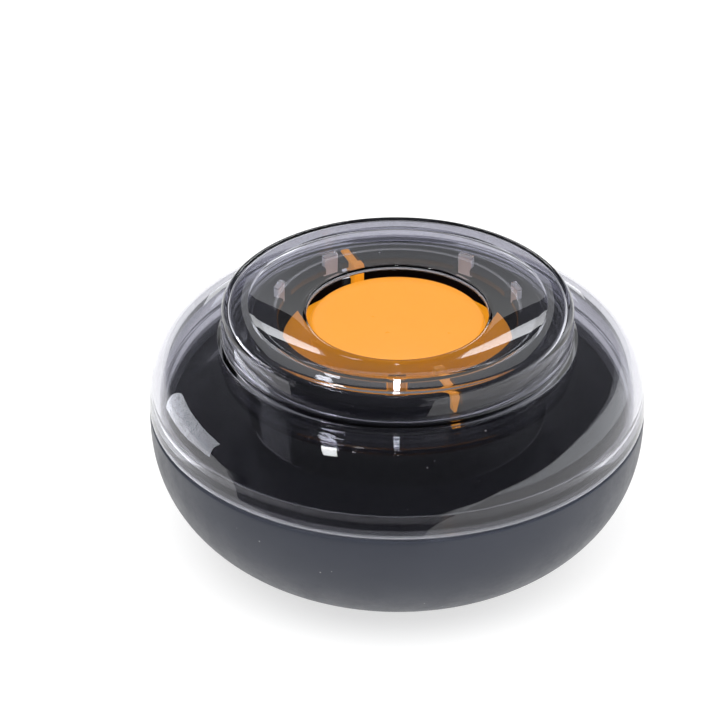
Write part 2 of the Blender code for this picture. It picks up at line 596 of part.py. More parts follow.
def power_switch():
    """The slide switch clipped over its slot, and the knob that a fingertip moves."""
    x, y = POWER_AT
    low, high = POWER_BODY_Z, POWER_BODY_Z + POWER_BODY.z
    half_x, half_y = POWER_BODY.x / 2, POWER_BODY.y / 2
    body = block((x - half_x, y - half_y, low), (x + half_x, y + half_y, high), name="power_switch_body")
    well_low = (x - 1.3 * MM, y - 1.8 * MM, low - 1.0 * MM)
    well_high = (x + 1.3 * MM, y + 1.8 * MM + POWER_TRAVEL, low + 1.8 * MM)
    cut(body, block(well_low, well_high))
    shape = bmesh.new()
    bmesh.ops.create_cube(shape, size=1.0)
    knob_low, knob_high = 1.0 * MM, low + 1.4 * MM
    bmesh.ops.scale(shape, vec=(2.0 * MM, 3.0 * MM, knob_high - knob_low), verts=shape.verts)
    knob = object_of("power_switch_knob", shape, (x, y, (knob_low + knob_high) / 2))
    return [body, knob]


def speaker():
    z = SPEAKER_Z
    frame = [
        (11.3 * MM, z), (SPEAKER_RADIUS, z), (SPEAKER_RADIUS, z + 1.0 * MM), (12.6 * MM, z + 1.0 * MM),
        (8.6 * MM, z + 3.7 * MM), (4.5 * MM, z + 3.7 * MM), (4.5 * MM, z + 2.8 * MM),
        (8.2 * MM, z + 2.8 * MM), (11.3 * MM, z + 0.8 * MM),
    ]
    cone = [
        (0, z + 1.5 * MM), (4.5 * MM, z + 1.5 * MM), (10.9 * MM, z + 0.2 * MM),
        (10.9 * MM, z + 0.5 * MM), (4.6 * MM, z + 2.0 * MM), (0, z + 2.0 * MM),
    ]
    magnet = [
        (0, z + 2.9 * MM), (4.0 * MM, z + 2.9 * MM), (4.0 * MM, z + 4.0 * MM), (7.5 * MM, z + 4.0 * MM),
        (7.5 * MM, z + 7.2 * MM), (0, z + 7.2 * MM),
    ]
    outlines = {"speaker_frame": frame, "speaker_cone": cone, "speaker_magnet": magnet}
    return [turned(name, outline, SPEAKER_AT, PART_STEPS) for name, outline in outlines.items()]


def microphone():
    outline = [(0, MIC_Z), (MIC_RADIUS, MIC_Z), (MIC_RADIUS, MIC_Z + 2.5 * MM), (0, MIC_Z + 2.5 * MM)]
    return [turned("microphone", outline, MIC_AT, SMALL_STEPS)]


def battery_tray():
    """An inverted tray that keeps the cells over the door."""
    low = (DOOR_LOW.x - TRAY_WALL, DOOR_LOW.y - TRAY_WALL, TRAY_FOOT_Z)
    high = (DOOR_HIGH.x + TRAY_WALL, DOOR_HIGH.y + TRAY_WALL, TRAY_TOP_Z)
    tray = block(low, high, name="battery_tray")
    room_top = TRAY_TOP_Z - 1.0 * MM
    room = block((DOOR_LOW.x, DOOR_LOW.y, TRAY_FOOT_Z - 1.0 * MM), (DOOR_HIGH.x, DOOR_HIGH.y, room_top))
    return [cut(tray, room)]


def battery_cells():
    """Two AAA cells that point opposite ways, a coil contact at each flat end and a plate at each nub."""
    edge, nub, shoulder = 0.4 * MM, 1.9 * MM, CELL_LENGTH - CELL_NUB
    can = [
        (0, 0), (CELL_RADIUS - edge, 0), (CELL_RADIUS, edge), (CELL_RADIUS, shoulder - edge),
        (CELL_RADIUS - edge, shoulder), (nub, shoulder), (nub, CELL_LENGTH), (0, CELL_LENGTH),
    ]
    made = []
    plate_thick = 0.4 * MM
    plate_face = DOOR_HIGH.x - GAP - plate_thick
    nub_x = plate_face - GAP
    for i, (y, way) in enumerate(zip(CELL_ROWS, (1, -1))):
        cell = turned(f"battery_cell_{i + 1}", can, steps=PART_STEPS, axis="X")
        cell.data.transform(Matrix.Translation((nub_x - CELL_LENGTH, 0, 0)))
        if way < 0:
            cell.data.transform(Matrix.Rotation(pi, 4, "Z"))
        cell.location = (0.0, y, CELL_Z)
        inner, outer = sorted((way * plate_face, way * (plate_face + plate_thick)))
        low, high = (inner, y - 3.5 * MM, CELL_Z - 3.0 * MM), (outer, y + 3.5 * MM, CELL_Z + 4.5 * MM)
        plate = block(low, high, name=f"contact_plate_{i + 1}")
        gauge = 0.25 * MM
        flat_end = nub_x - CELL_LENGTH - GAP - gauge
        wall = -(DOOR_HIGH.x - GAP - gauge)
        foot, rise = (way * wall, y, CELL_Z), (way * (flat_end - wall), 0, 0)
        points = coil_points(foot, rise, 3.4 * MM, 2.2 * MM, 2.5, 10)
        made += [cell, plate, wire(f"contact_spring_{i + 1}", points, gauge)]
    return made


def leads():
    """Thin wires from the speaker, microphone, power switch and cells, past the board's edge to its top."""
    power_x, power_y = POWER_AT
    starts = {
        "battery_lead_red": ((DOOR_HIGH.x + TRAY_WALL + 0.8 * MM, CELL_ROWS[0], 11.0 * MM), 29),
        "battery_lead_black": ((DOOR_HIGH.x + TRAY_WALL + 0.8 * MM, CELL_ROWS[1], 11.0 * MM), 8),
        "speaker_lead_red": ((-5.2 * MM, -30.1 * MM, 7.4 * MM), -97),
        "speaker_lead_black": ((-8.2 * MM, -28.4 * MM, 7.4 * MM), -107),
        "power_lead_red": ((power_x, power_y - 2.0 * MM, 9.0 * MM), -127),
        "power_lead_black": ((power_x - 1.0 * MM, power_y + 2.5 * MM, 9.0 * MM), -137),
        "microphone_lead_red": ((MIC_AT[0] - 1.2 * MM, MIC_AT[1], MIC_Z + 3.3 * MM), -62),
        "microphone_lead_black": ((MIC_AT[0] + 1.2 * MM, MIC_AT[1], MIC_Z + 3.3 * MM), -52),
    }
    made = []
    for name, (start, degrees) in starts.items():
        angle = radians(degrees)
        over_edge = ((31.6, 14.5), (31.2, 18.2), (28.6, 20.8), (25.6, 19.4))
        knots = [start, (start[0], start[1], start[2] + 1.2 * MM)]
        knots += [(r * MM * cos(angle), r * MM * sin(angle), z * MM) for r, z in over_edge]
        made.append(wire(name, smooth_route(knots), LEAD_RADIUS))
    return made


MATERIALS = {
    "dark_plastic": ((0.072, 0.078, 0.100), 0.38),
    "black_plastic": ((0.014, 0.014, 0.020), 0.30),
    "clear_plastic": ((0.97, 0.97, 0.98), 0.04, 0.0, 1.0),
    "orange_plastic": ((0.87, 0.36, 0.03), 0.35),
    "pale_plastic": ((0.55, 0.55, 0.52), 0.45),
    "red_plastic": ((0.50, 0.03, 0.02), 0.40),
    "steel": ((0.60, 0.60, 0.60), 0.32, 1.0),
    "rubber": ((0.03, 0.03, 0.03), 0.80),
    "board": ((0.02, 0.16, 0.06), 0.50),
    "paper": ((0.05, 0.05, 0.05), 0.90),
    "foil": ((0.15, 0.25, 0.55), 0.35, 0.6),
}
MATERIAL_OF = {             # by what a name starts or ends with, the first match; the rest is steel
    "door_screw": "steel",
    "clear_dome": "clear_plastic", "clear_collar": "clear_plastic", "base_bowl": "dark_plastic",
    "battery_door": "dark_plastic", "inner_deck": "black_plastic", "button_cap": "orange_plastic",
    "button_plunger": "pale_plastic", "rubber_foot": "rubber", "circuit_board": "board",
    "speaker_cone": "paper", "battery_tray": "black_plastic", "battery_cell": "foil",
    "record_button": "red_plastic", "sound_chip": "black_plastic", "resistor": "black_plastic",
    "switch_button": "black_plastic", "switch_knob": "pale_plastic", "capacitor": "foil",
    "lead_red": "red_plastic", "lead_black": "rubber",
}
MOVING = {
    "button": ("button_cap", "button_plunger"),
    "main_switch": ("main_switch_button",),
    "record": ("record_button",),
    "record_switch": ("record_switch_button",),
    "power_knob": ("power_switch_knob",),
}


def finish(made):
    """Gives each sub-part its material and smooth shading, and parents it to its body's empty."""
    palette = {name: material(name, *values) for name, values in MATERIALS.items()}
    empties = {}
    for body in ("housing", *MOVING):
        empties[body] = bpy.data.objects.new(f"{body}_body", None)
        bpy.context.scene.collection.objects.link(empties[body])
    for piece in made:
        name = piece.name
        matches = [MATERIAL_OF[key] for key in MATERIAL_OF if name.startswith(key) or name.endswith(key)]
        slot = matches[0] if matches else "steel"
        piece.data.materials.clear()
        piece.data.materials.append(palette[slot])
        if piece.type == "MESH":
            piece.data.shade_smooth()
            piece.data.set_sharp_from_angle(angle=radians(35))
        body = next((name for name, nodes in MOVING.items() if piece.name in nodes), "housing")
        piece.parent = empties[body]


def main():
    for old in list(bpy.data.objects):
        bpy.data.objects.remove(old)
    switches = push_switch("main_switch", (0.0, 0.0), BOARD_TOP_Z + GAP, 1)
    switches += push_switch("record_switch", RECORD_AT, BOARD_UNDER_Z - GAP, -1)
    made = [
        *base_bowl(), *battery_door(), *fixings(), *rubber_feet(), *inner_deck(), *clear_dome(),
        *clear_collar(),
        *button_cap(), *button_plunger(), *return_spring(), *circuit_board(), *switches, *board_parts(),
        *record_button(), *power_switch(), *speaker(), *microphone(), *battery_tray(), *battery_cells(),
        *leads(),
    ]
    finish(made)


main()
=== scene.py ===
"""The looks of the quiz buzzer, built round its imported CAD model.

The shells, the button and all that shows are turned again here as fine meshes with rounded edges. The
pieces inside are the CAD shapes with eased edges. Lengths are in millimetres. An outline's corner is
(radius, height) or, where it is rounded, (radius, height, rounding).
"""

import json
from math import asin, atan2, cos, pi, radians, sin, tan

import bmesh
import bpy
from mathutils import Matrix, Vector

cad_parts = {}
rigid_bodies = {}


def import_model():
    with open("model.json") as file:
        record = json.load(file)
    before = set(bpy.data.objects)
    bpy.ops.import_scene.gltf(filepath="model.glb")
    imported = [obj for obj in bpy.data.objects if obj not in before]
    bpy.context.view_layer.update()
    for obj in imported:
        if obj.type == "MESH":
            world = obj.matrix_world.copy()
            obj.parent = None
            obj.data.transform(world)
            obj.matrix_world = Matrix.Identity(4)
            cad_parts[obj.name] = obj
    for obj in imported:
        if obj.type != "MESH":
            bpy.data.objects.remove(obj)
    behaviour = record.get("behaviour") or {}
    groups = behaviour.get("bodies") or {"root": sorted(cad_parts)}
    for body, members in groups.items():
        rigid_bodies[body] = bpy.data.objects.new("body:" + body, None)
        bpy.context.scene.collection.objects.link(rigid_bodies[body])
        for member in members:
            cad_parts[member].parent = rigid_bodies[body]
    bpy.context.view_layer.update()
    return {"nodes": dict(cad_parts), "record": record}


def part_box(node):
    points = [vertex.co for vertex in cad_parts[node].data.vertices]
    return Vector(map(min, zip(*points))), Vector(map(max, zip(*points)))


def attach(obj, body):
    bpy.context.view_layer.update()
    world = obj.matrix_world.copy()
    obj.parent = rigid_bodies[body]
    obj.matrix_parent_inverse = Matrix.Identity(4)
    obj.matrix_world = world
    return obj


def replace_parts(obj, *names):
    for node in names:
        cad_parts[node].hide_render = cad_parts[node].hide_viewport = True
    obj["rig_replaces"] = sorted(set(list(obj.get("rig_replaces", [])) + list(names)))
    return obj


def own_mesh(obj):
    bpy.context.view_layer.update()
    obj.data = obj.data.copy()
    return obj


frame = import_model()
record = frame["record"]
BODY_OF = {node: body for body, nodes in record["behaviour"]["bodies"].items() for node in nodes}
SLOT_OF = {part["node"]: part["material_slot"] for part in record["subparts"]}

MM = 0.001
ROUND = 240                # steps round the big shells
FINE = 72                  # steps round small turned pieces


def low(node):
    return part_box(node)[0] / MM


def high(node):
    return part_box(node)[1] / MM


def middle(node):
    return (low(node) + high(node)) / 2


# levels and radii in millimetres, read from the frame
MAX_R = high("base_bowl").x
SEAM_LOW = high("base_bowl").z
WIDEST = SEAM_LOW - 0.9
SEAM_HIGH = WIDEST + 1.4
DOME_TOP = high("clear_dome").z
COLLAR_TOP = high("clear_collar").z
COLLAR_R = high("clear_collar").x - 0.8
COLLAR_FOOT = DOME_TOP + 0.3
DECK_R = high("inner_deck").x
DECK_TOP = WIDEST + 0.1
TURRET_TOP = high("inner_deck").z
TURRET_R = 26.4
OPENING_R = 16.0
OPENING_Z = COLLAR_TOP - 2.38
DISH_R = 25.6
DISH_WALL = 1.2
CAP_TOP = OPENING_Z - 1.7
CAP_R = 15.5
CAP_FOOT = low("button_cap").z
CAP_FLANGE_TOP = CAP_FOOT + 1.34
KEY_FOOT = WIDEST + 13.9
KEY_TOP = KEY_FOOT + 3.54
KEY_STOP = high("button_cap").z
WALL = 2.0
GAP = 0.3
FLAT_Z = low("base_bowl").z
POST_TOP = 20.0            # where the base's screw posts end
KEYS = [radians(a) for a in (-68, 112)]
LUGS = [radians(a) for a in (21, 57, 123, 159, 270)]


# ---------------------------------------------------------------- shapes

def rounded(outline, steps=5):
    """The points of a closed outline, with an arc at each corner that has a rounding."""
    points = []
    for i, corner in enumerate(outline):
        here = Vector(corner[:2])
        if len(corner) < 3:
            points.append(here)
            continue
        back = Vector(outline[i - 1][:2]) - here
        ahead = Vector(outline[(i + 1) % len(outline)][:2]) - here
        half = back.angle(ahead) / 2
        reach = min(corner[2] / tan(half), 0.49 * back.length, 0.49 * ahead.length)
        centre = here + (back.normalized() + ahead.normalized()).normalized() * (reach / cos(half))
        start = here + back.normalized() * reach - centre
        end = here + ahead.normalized() * reach - centre
        turn = (pi - 2 * half) * (1 if start.x * end.y - start.y * end.x > 0 else -1)
        first = atan2(start.y, start.x)
        for step in range(steps + 1):
            angle = first + turn * step / steps
            points.append(centre + start.length * Vector((cos(angle), sin(angle))))
    return points


def mesh_object(name, verts, faces):
    """A new object from points in millimetres, with its faces pointing out."""
    mesh = bpy.data.meshes.new(name)
    mesh.from_pydata([Vector(v) * MM for v in verts], [], faces)
    shape = bmesh.new()
    shape.from_mesh(mesh)
    bmesh.ops.recalc_face_normals(shape, faces=shape.faces)
    shape.to_mesh(mesh)
    shape.free()
    made = bpy.data.objects.new(name, mesh)
    bpy.context.scene.collection.objects.link(made)
    return made


def lathe(name, outline, at=(0.0, 0.0), steps=ROUND):
    """A closed outline turned about the vertical through at."""
    verts, rings = [], []
    for r, z in rounded(outline):
        if r < 1e-6:
            rings.append([len(verts)] * steps)
            verts.append((at[0], at[1], z))
            continue
        rings.append(range(len(verts), len(verts) + steps))
        turns = [2 * pi * i / steps for i in range(steps)]
        verts += [(at[0] + r * cos(a), at[1] + r * sin(a), z) for a in turns]
    faces = []
    for one, two in zip(rings, rings[1:] + rings[:1]):
        for i in range(steps):
            j = (i + 1) % steps
            face = list(dict.fromkeys((one[i], one[j], two[j], two[i])))
            if len(face) > 2:
                faces.append(face)
    return mesh_object(name, verts, faces)


def prism(name, plan, z_low, z_high, angle=0.0, taper=0.0, edge=0.0):
    """A plan of (x, y, rounding) corners stood up between two heights; its top is drawn in by taper and its
    top edge eased by edge. angle turns it about the buzzer's axis."""
    corners = rounded(plan, 6)
    centre = sum(corners, Vector((0.0, 0.0))) / len(corners)
    levels = [(z_low, 0.0), (z_high - edge, taper)]
    for step in range(1, 5):
        bend = pi / 2 * step / 4
        if edge:
            levels.append((z_high - edge + edge * sin(bend), taper + edge * (1 - cos(bend))))
    if not edge:
        levels = [(z_low, 0.0), (z_high, taper)]
    turn = Matrix.Rotation(angle, 2)
    verts = []
    for z, inset in levels:
        for corner in corners:
            arm = corner - centre
            x, y = turn @ (centre + arm * max(0.0, 1 - inset / max(arm.length, 1e-6)))
            verts.append((x, y, z))
    count = len(corners)
    faces = [list(range(count)), list(range(len(verts) - count, len(verts)))]
    for level in range(len(levels) - 1):
        for i in range(count):
            j = (i + 1) % count
            base = level * count
            faces.append((base + i, base + j, base + count + j, base + count + i))
    return mesh_object(name, verts, faces)


def wedge(name, near, far, half_top, half_foot, z_low, z_high, angle):
    """A radial fin that is thinner at its foot than at its top."""
    turn = Matrix.Rotation(angle, 2)
    verts = []
    levels = [(z_low, half_foot), (z_low + 0.3, half_foot + 0.08)]
    levels += [(z_high - 0.2, half_top), (z_high, half_top - 0.2)]
    for z, half in levels:
        for x, y in ((near, -half), (far, -half), (far, half), (near, half)):
            verts.append((*(turn @ Vector((x, y))), z))
    faces = [(3, 2, 1, 0), (12, 13, 14, 15)]
    for base in (0, 4, 8):
        for i in range(4):
            j = (i + 1) % 4
            faces.append((base + i, base + j, base + 4 + j, base + 4 + i))
    return mesh_object(name, verts, faces)


def box_plan(x_low, y_low, x_high, y_high, rounding):
    """A rectangle with rounded corners, for prism."""
    corners = ((x_low, y_low), (x_high, y_low), (x_high, y_high), (x_low, y_high))
    return [(x, y, rounding) for x, y in corners]


def box_about(x, y, half_x, half_y, rounding):
    """The same, from its middle and half sides."""
    return box_plan(x - half_x, y - half_y, x + half_x, y + half_y, rounding)


def rod(name, radius, foot, top, at):
    """A plain round upright."""
    return lathe(name, [(0, foot), (radius, foot), (radius, top), (0, top)], at, FINE)


def tube(name, inner, outer, foot, top, at):
    """An upright ring with eased top edges."""
    return lathe(name, [(inner, foot), (outer, foot), (outer, top, 0.2), (inner, top, 0.2)], at, FINE)


def combine(target, operation, *tools):
    """Applies a Boolean with each tool in turn, and removes the tools."""
    for tool in tools:
        change = target.modifiers.new("combine", "BOOLEAN")
        change.solver = "MANIFOLD"
        change.operation = operation
        change.object = tool
    bpy.context.view_layer.update()
    depsgraph = bpy.context.evaluated_depsgraph_get()
    target.data = bpy.data.meshes.new_from_object(target.evaluated_get(depsgraph))
    target.modifiers.clear()
    for tool in tools:
        bpy.data.objects.remove(tool)
    return target


def superellipse(centre_r, reach_r, reach_z, power, first, last, steps):
    """Points of a superellipse about (centre_r, WIDEST), from angle first to angle last."""
    angles = [first + (last - first) * i / steps for i in range(steps + 1)]
    share = 2 / power
    return [(centre_r + reach_r * cos(t) ** share, WIDEST + reach_z * sin(t) ** share) for t in angles]


def bowl_curve(inset, steps=36):
    """The bowl's side from its flat underside up to the widest level, moved in by inset."""
    depth, power = 28.69 - inset, 2.4
    first = asin(min(1.0, (WIDEST - FLAT_Z - inset) / depth) ** (power / 2))
    points = superellipse(0.0, MAX_R - inset, depth, power, first, 0.0, steps)
    return [(r, 2 * WIDEST - z) for r, z in points]


def dome_curve(inset, foot, steps=36):
    """The dome's side from height foot up to the collar's foot, moved in by inset."""
    rise, power = DOME_TOP - WIDEST - inset, 3.0
    first = asin(((foot - WIDEST) / rise) ** (power / 2))
    return superellipse(COLLAR_R, MAX_R - COLLAR_R - inset, rise, power, first, pi / 2, steps)


def dish_curve(drop, inner, outer, steps=14):
    """The collar's dished top from its opening out to its rim, moved down by drop."""
    rise = COLLAR_TOP - 0.25 - OPENING_Z
    radii = [inner + (outer - inner) * i / steps for i in range(steps + 1)]
    shares = [max(0.0, (r - OPENING_R) / (DISH_R - OPENING_R)) for r in radii]
    return [(r, OPENING_Z + rise * share ** 1.6 - drop) for r, share in zip(radii, shares)]


# ---------------------------------------------------------------- materials

class Nodes:
    """A material's node tree, built up in few words. Texture sizes are in millimetres."""

    def __init__(self, name, colour, roughness, metallic=0.0, **settings):
        self.material = bpy.data.materials.new(name)
        self.material.use_nodes = True
        self.tree = self.material.node_tree
        self.shader = self.tree.nodes["Principled BSDF"]
        self.shader.inputs["Base Color"].default_value = (*colour, 1.0)
        self.shader.inputs["Roughness"].default_value = roughness
        self.shader.inputs["Metallic"].default_value = metallic
        for socket, value in settings.items():
            self.shader.inputs[socket.replace("_", " ")].default_value = value
        self.place = self.tree.nodes.new("ShaderNodeTexCoord").outputs["Object"]

    def link(self, source, target):
        self.tree.links.new(source, target)

    def node(self, kind, **inputs):
        made = self.tree.nodes.new(kind)
        for name, value in inputs.items():
            socket = made.inputs[name.replace("_", " ")]
            if isinstance(value, bpy.types.NodeSocket):
                self.link(value, socket)
            else:
                socket.default_value = value
        return made

    def noise(self, size, detail=3.0, rough=0.5, stretch=(1.0, 1.0, 1.0)):
        """Cloudy noise whose blobs are about size millimetres across, as a value from 0 to 1."""
        place = self.node("ShaderNodeMapping", Vector=self.place, Scale=stretch).outputs["Vector"]
        scale = 1 / (size * MM)
        texture = self.node("ShaderNodeTexNoise", Vector=place, Scale=scale, Detail=detail, Roughness=rough)
        return texture.outputs["Fac"]

    def specks(self, size, share):
        """Small separate spots, 1 inside a spot. A cell is size across, and share is a spot's part of it."""
        cells = self.node("ShaderNodeTexVoronoi", Vector=self.place, Scale=1 / (size * MM))
        near = self.ramp(cells.outputs["Distance"], share, share * 0.5, 0.0, 1.0)
        few = self.ramp(self.noise(size * 4, 1.0), 0.58, 0.62, 0.0, 1.0)
        return self.maths("MULTIPLY", near, few)

    def ramp(self, value, from_low, from_high, to_low, to_high):
        made = self.tree.nodes.new("ShaderNodeMapRange")
        self.link(value, made.inputs["Value"])
        limits = {"From Min": from_low, "From Max": from_high, "To Min": to_low, "To Max": to_high}
        if from_low > from_high:
            limits = {"From Min": from_high, "From Max": from_low, "To Min": to_high, "To Max": to_low}
        for name, number in limits.items():
            made.inputs[name].default_value = number
        return made.outputs["Result"]

    def maths(self, operation, first, second=0.0):
        made = self.tree.nodes.new("ShaderNodeMath")
        made.operation = operation
        for socket, value in zip(made.inputs, (first, second)):
            if isinstance(value, bpy.types.NodeSocket):
                self.link(value, socket)
            else:
                socket.default_value = value
        return made.outputs[0]

    def mix(self, factor, first, second):
        """A colour from first to second, either of them a colour or a socket."""
        made = self.tree.nodes.new("ShaderNodeMix")
        made.data_type = "RGBA"
        self.link(factor, made.inputs[0])
        for socket, value in ((made.inputs[6], first), (made.inputs[7], second)):
            if isinstance(value, bpy.types.NodeSocket):
                self.link(value, socket)
            else:
                socket.default_value = (*value, 1.0)
        return made.outputs[2]

    def edges(self, sharp=0.52, sharper=0.58):
        """1 on outward edges, where handling wears a piece."""
        geometry = self.tree.nodes.new("ShaderNodeNewGeometry")
        return self.ramp(geometry.outputs["Pointiness"], sharp, sharper, 0.0, 1.0)

    def set_colour(self, source):
        self.link(source, self.shader.inputs["Base Color"])

    def set_roughness(self, source):
        self.link(source, self.shader.inputs["Roughness"])

    def set_bump(self, source, depth, strength=0.6):
        """A bump of depth millimetres."""
        bump = self.node("ShaderNodeBump", Strength=strength, Distance=depth * MM, Height=source)
        self.link(bump.outputs["Normal"], self.shader.inputs["Normal"])


def moulded(name, colour, roughness, spread=0.06, grain=0.35, depth=0.006, wear=0.25, dust=0.0, **settings):
    """Moulded plastic: faint clouds in its colour, an uneven gloss, fine grain, paler edges and some dust."""
    made = Nodes(name, colour, roughness, **settings)
    pale = tuple(min(1.0, c * 1.5 + 0.02) for c in colour)
    shade = tuple(c * 0.88 for c in colour)
    tone = made.mix(made.noise(14.0), shade, colour)
    if wear:
        tone = made.mix(made.maths("MULTIPLY", made.edges(), wear), tone, pale)
    if dust:
        specks = made.maths("MULTIPLY", made.specks(2.6, 0.07), dust)
        tone = made.mix(specks, tone, (0.45, 0.44, 0.43))
    made.set_colour(tone)
    gloss = made.ramp(made.noise(5.0), 0.3, 0.7, roughness - spread, roughness + spread)
    fine = made.ramp(made.noise(0.9, 4.0), 0.3, 0.7, -0.03, 0.03)
    made.set_roughness(made.maths("ADD", gloss, fine))
    made.set_bump(made.noise(grain, 2.0), depth)
    return made.material


def clear(name):
    """Clear polished plastic: clean and sharp, with a slight unevenness from moulding, small specks and faint
    smudges.
    """
    made = Nodes(name, (0.64, 0.64, 0.69), 0.02, Transmission_Weight=1.0, IOR=1.49)
    specks = made.specks(3.4, 0.05)
    smudges = made.ramp(made.noise(8.0, 4.0), 0.5, 0.75, 0.0, 0.02)
    # the rear snap lugs under the dish have a matt finish, which catches the light
    split = made.node("ShaderNodeSeparateXYZ", Vector=made.place)
    across = made.node("ShaderNodeCombineXYZ", X=split.outputs[0], Y=split.outputs[1])
    reach = made.tree.nodes.new("ShaderNodeVectorMath")
    reach.operation = "LENGTH"
    made.link(across.outputs[0], reach.inputs[0])
    from_lugs = made.maths("ABSOLUTE", made.maths("SUBTRACT", reach.outputs["Value"], 23.0 * MM))
    near_lugs = made.ramp(from_lugs, 1.4 * MM, 1.6 * MM, 1.0, 0.0)
    under_dish = made.ramp(split.outputs[2], 44.3 * MM, 44.6 * MM, 1.0, 0.0)
    rear = made.ramp(split.outputs[1], -1.0 * MM, 1.0 * MM, 0.0, 1.0)
    matt = made.maths("MULTIPLY", made.maths("MULTIPLY", near_lugs, under_dish), rear)
    # and so, a little, is the dome's edge at the seam
    near_seam = made.ramp(split.outputs[2], (SEAM_HIGH + 0.25) * MM, (SEAM_HIGH + 0.6) * MM, 0.35, 0.0)
    matt = made.maths("MAXIMUM", matt, near_seam)
    marks = made.maths("MAXIMUM", made.maths("MAXIMUM", specks, matt), smudges)
    made.set_roughness(made.ramp(marks, 0.0, 1.0, 0.012, 0.5))
    made.link(made.ramp(matt, 0.0, 1.0, 1.0, 0.35), made.shader.inputs["Transmission Weight"])
    made.set_bump(made.noise(9.0, 1.0), 0.01, 0.1)
    return made.material


def plated(name, colour, roughness, grain=0.5, stretch=(1.0, 1.0, 1.0)):
    """Plated steel: an uneven sheen with fine drawing lines."""
    made = Nodes(name, colour, roughness, 1.0)
    dull = tuple(c * 0.7 for c in colour)
    made.set_colour(made.mix(made.noise(3.0), dull, colour))
    lines = made.noise(grain, 2.0, 0.6, stretch)
    made.set_roughness(made.ramp(lines, 0.3, 0.7, roughness - 0.08, roughness + 0.12))
    made.set_bump(made.noise(grain * 0.5, 2.0, 0.6, stretch), 0.004)
    return made.material


def circuit(name):
    """Green solder mask over darker tracks, with tinned pads."""
    made = Nodes(name, (0.02, 0.16, 0.06), 0.32)
    cells = made.node("ShaderNodeTexBrick", Vector=made.place, Scale=1 / (5.0 * MM), Mortar_Size=0.06)
    tracks = made.mix(cells.outputs["Fac"], (0.012, 0.13, 0.045), (0.03, 0.22, 0.085))
    pads = made.specks(3.0, 0.14)
    made.set_colour(made.mix(pads, tracks, (0.62, 0.60, 0.55)))
    made.set_roughness(made.ramp(made.noise(2.0), 0.3, 0.7, 0.26, 0.42))
    made.set_bump(cells.outputs["Fac"], 0.03)
    return made.material


def paper(name):
    """Pressed black fibre, as in a speaker's cone."""
    made = Nodes(name, (0.02, 0.02, 0.02), 0.85)
    fibres = made.noise(0.25, 4.0, 0.7, (1.0, 3.0, 1.0))
    made.set_colour(made.mix(fibres, (0.012, 0.012, 0.012), (0.05, 0.048, 0.045)))
    made.set_bump(fibres, 0.05)
    return made.material


def rubber(name):
    made = Nodes(name, (0.022, 0.022, 0.022), 0.8)
    made.set_colour(made.mix(made.noise(1.2), (0.015, 0.015, 0.015), (0.035, 0.034, 0.033)))
    made.set_roughness(made.ramp(made.noise(0.8), 0.3, 0.7, 0.7, 0.9))
    made.set_bump(made.noise(0.15, 3.0), 0.02)
    return made.material


def sleeve(name, colour, band):
    """A shrink sleeve: a printed band round a cell or a can, without any lettering."""
    made = Nodes(name, colour, 0.3)
    split = made.tree.nodes.new("ShaderNodeSeparateXYZ")
    made.link(made.place, split.inputs[0])
    along = made.maths("ABSOLUTE", split.outputs[0])
    share = made.ramp(along, 14.0 * MM, 14.2 * MM, 0.0, 1.0)
    made.set_colour(made.mix(share, colour, band))
    made.set_roughness(made.ramp(made.noise(4.0), 0.3, 0.7, 0.22, 0.38))
    made.set_bump(made.noise(2.0), 0.02)
    return made.material


MATERIALS = {
    "base_plastic": moulded("base_plastic", (0.034, 0.038, 0.052), 0.38, 0.05, 0.3, 0.006, 0.3, 0.5,
                            Specular_IOR_Level=0.3),
    "deck_plastic": moulded("deck_plastic", (0.006, 0.006, 0.010), 0.16, 0.04, 0.5, 0.002, 0.15, 0.25),
    "clear_plastic": clear("clear_plastic"),
    # the orange has a painted glow: it emits light of its own, which lightens its shaded parts under the dish
    # in place of light passing through the plastic
    "button_orange": moulded("button_orange", (0.42, 0.135, 0.003), 0.34, 0.05, 0.4, 0.004, 0.1, 0.0,
                             Emission_Color=(1.0, 0.40, 0.02, 1.0), Emission_Strength=0.48),
    "pale_plastic": moulded("pale_plastic", (0.55, 0.55, 0.52), 0.42),
    "black_plastic": moulded("black_plastic", (0.02, 0.02, 0.02), 0.45),
    "record_red": moulded("record_red", (0.50, 0.03, 0.02), 0.34),
    "spring_steel": plated("spring_steel", (0.62, 0.62, 0.62), 0.24, 0.3),
    "screw_steel": plated("screw_steel", (0.45, 0.45, 0.46), 0.34, 0.4),
    "switch_metal": plated("switch_metal", (0.55, 0.55, 0.55), 0.3, 0.5, (1.0, 4.0, 1.0)),
    "speaker_steel": plated("speaker_steel", (0.5, 0.5, 0.5), 0.36, 0.8),
    "cone_paper": paper("cone_paper"),
    "board_green": circuit("board_green"),
    "capacitor_sleeve": sleeve("capacitor_sleeve", (0.03, 0.05, 0.12), (0.03, 0.05, 0.12)),
    "cell_sleeve": sleeve("cell_sleeve", (0.10, 0.20, 0.45), (0.55, 0.56, 0.58)),
    "foot_rubber": rubber("foot_rubber"),
    "lead_red": moulded("lead_red", (0.45, 0.02, 0.02), 0.4, grain=0.2, wear=0.0),
    "lead_black": moulded("lead_black", (0.02, 0.02, 0.02), 0.4, grain=0.2, wear=0.0),
}


# ---------------------------------------------------------------- pieces

def stand_for(piece, node, sharp=40):
    """Shades a new piece, gives it the material of the node's slot, stands it in for the node, whose CAD
    shape it hides, and hangs it on the node's body.
    """
    piece.data.materials.clear()
    piece.data.materials.append(MATERIALS[SLOT_OF[node]])
    piece.data.shade_smooth()
    piece.data.set_sharp_from_angle(angle=radians(sharp))
    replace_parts(piece, node)
    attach(piece, BODY_OF[node])
    return piece


def housing_posts():
    """Where the housing's screws are, in millimetres."""
    return [middle(f"housing_screw_{i}").xy for i in (1, 2, 3)]


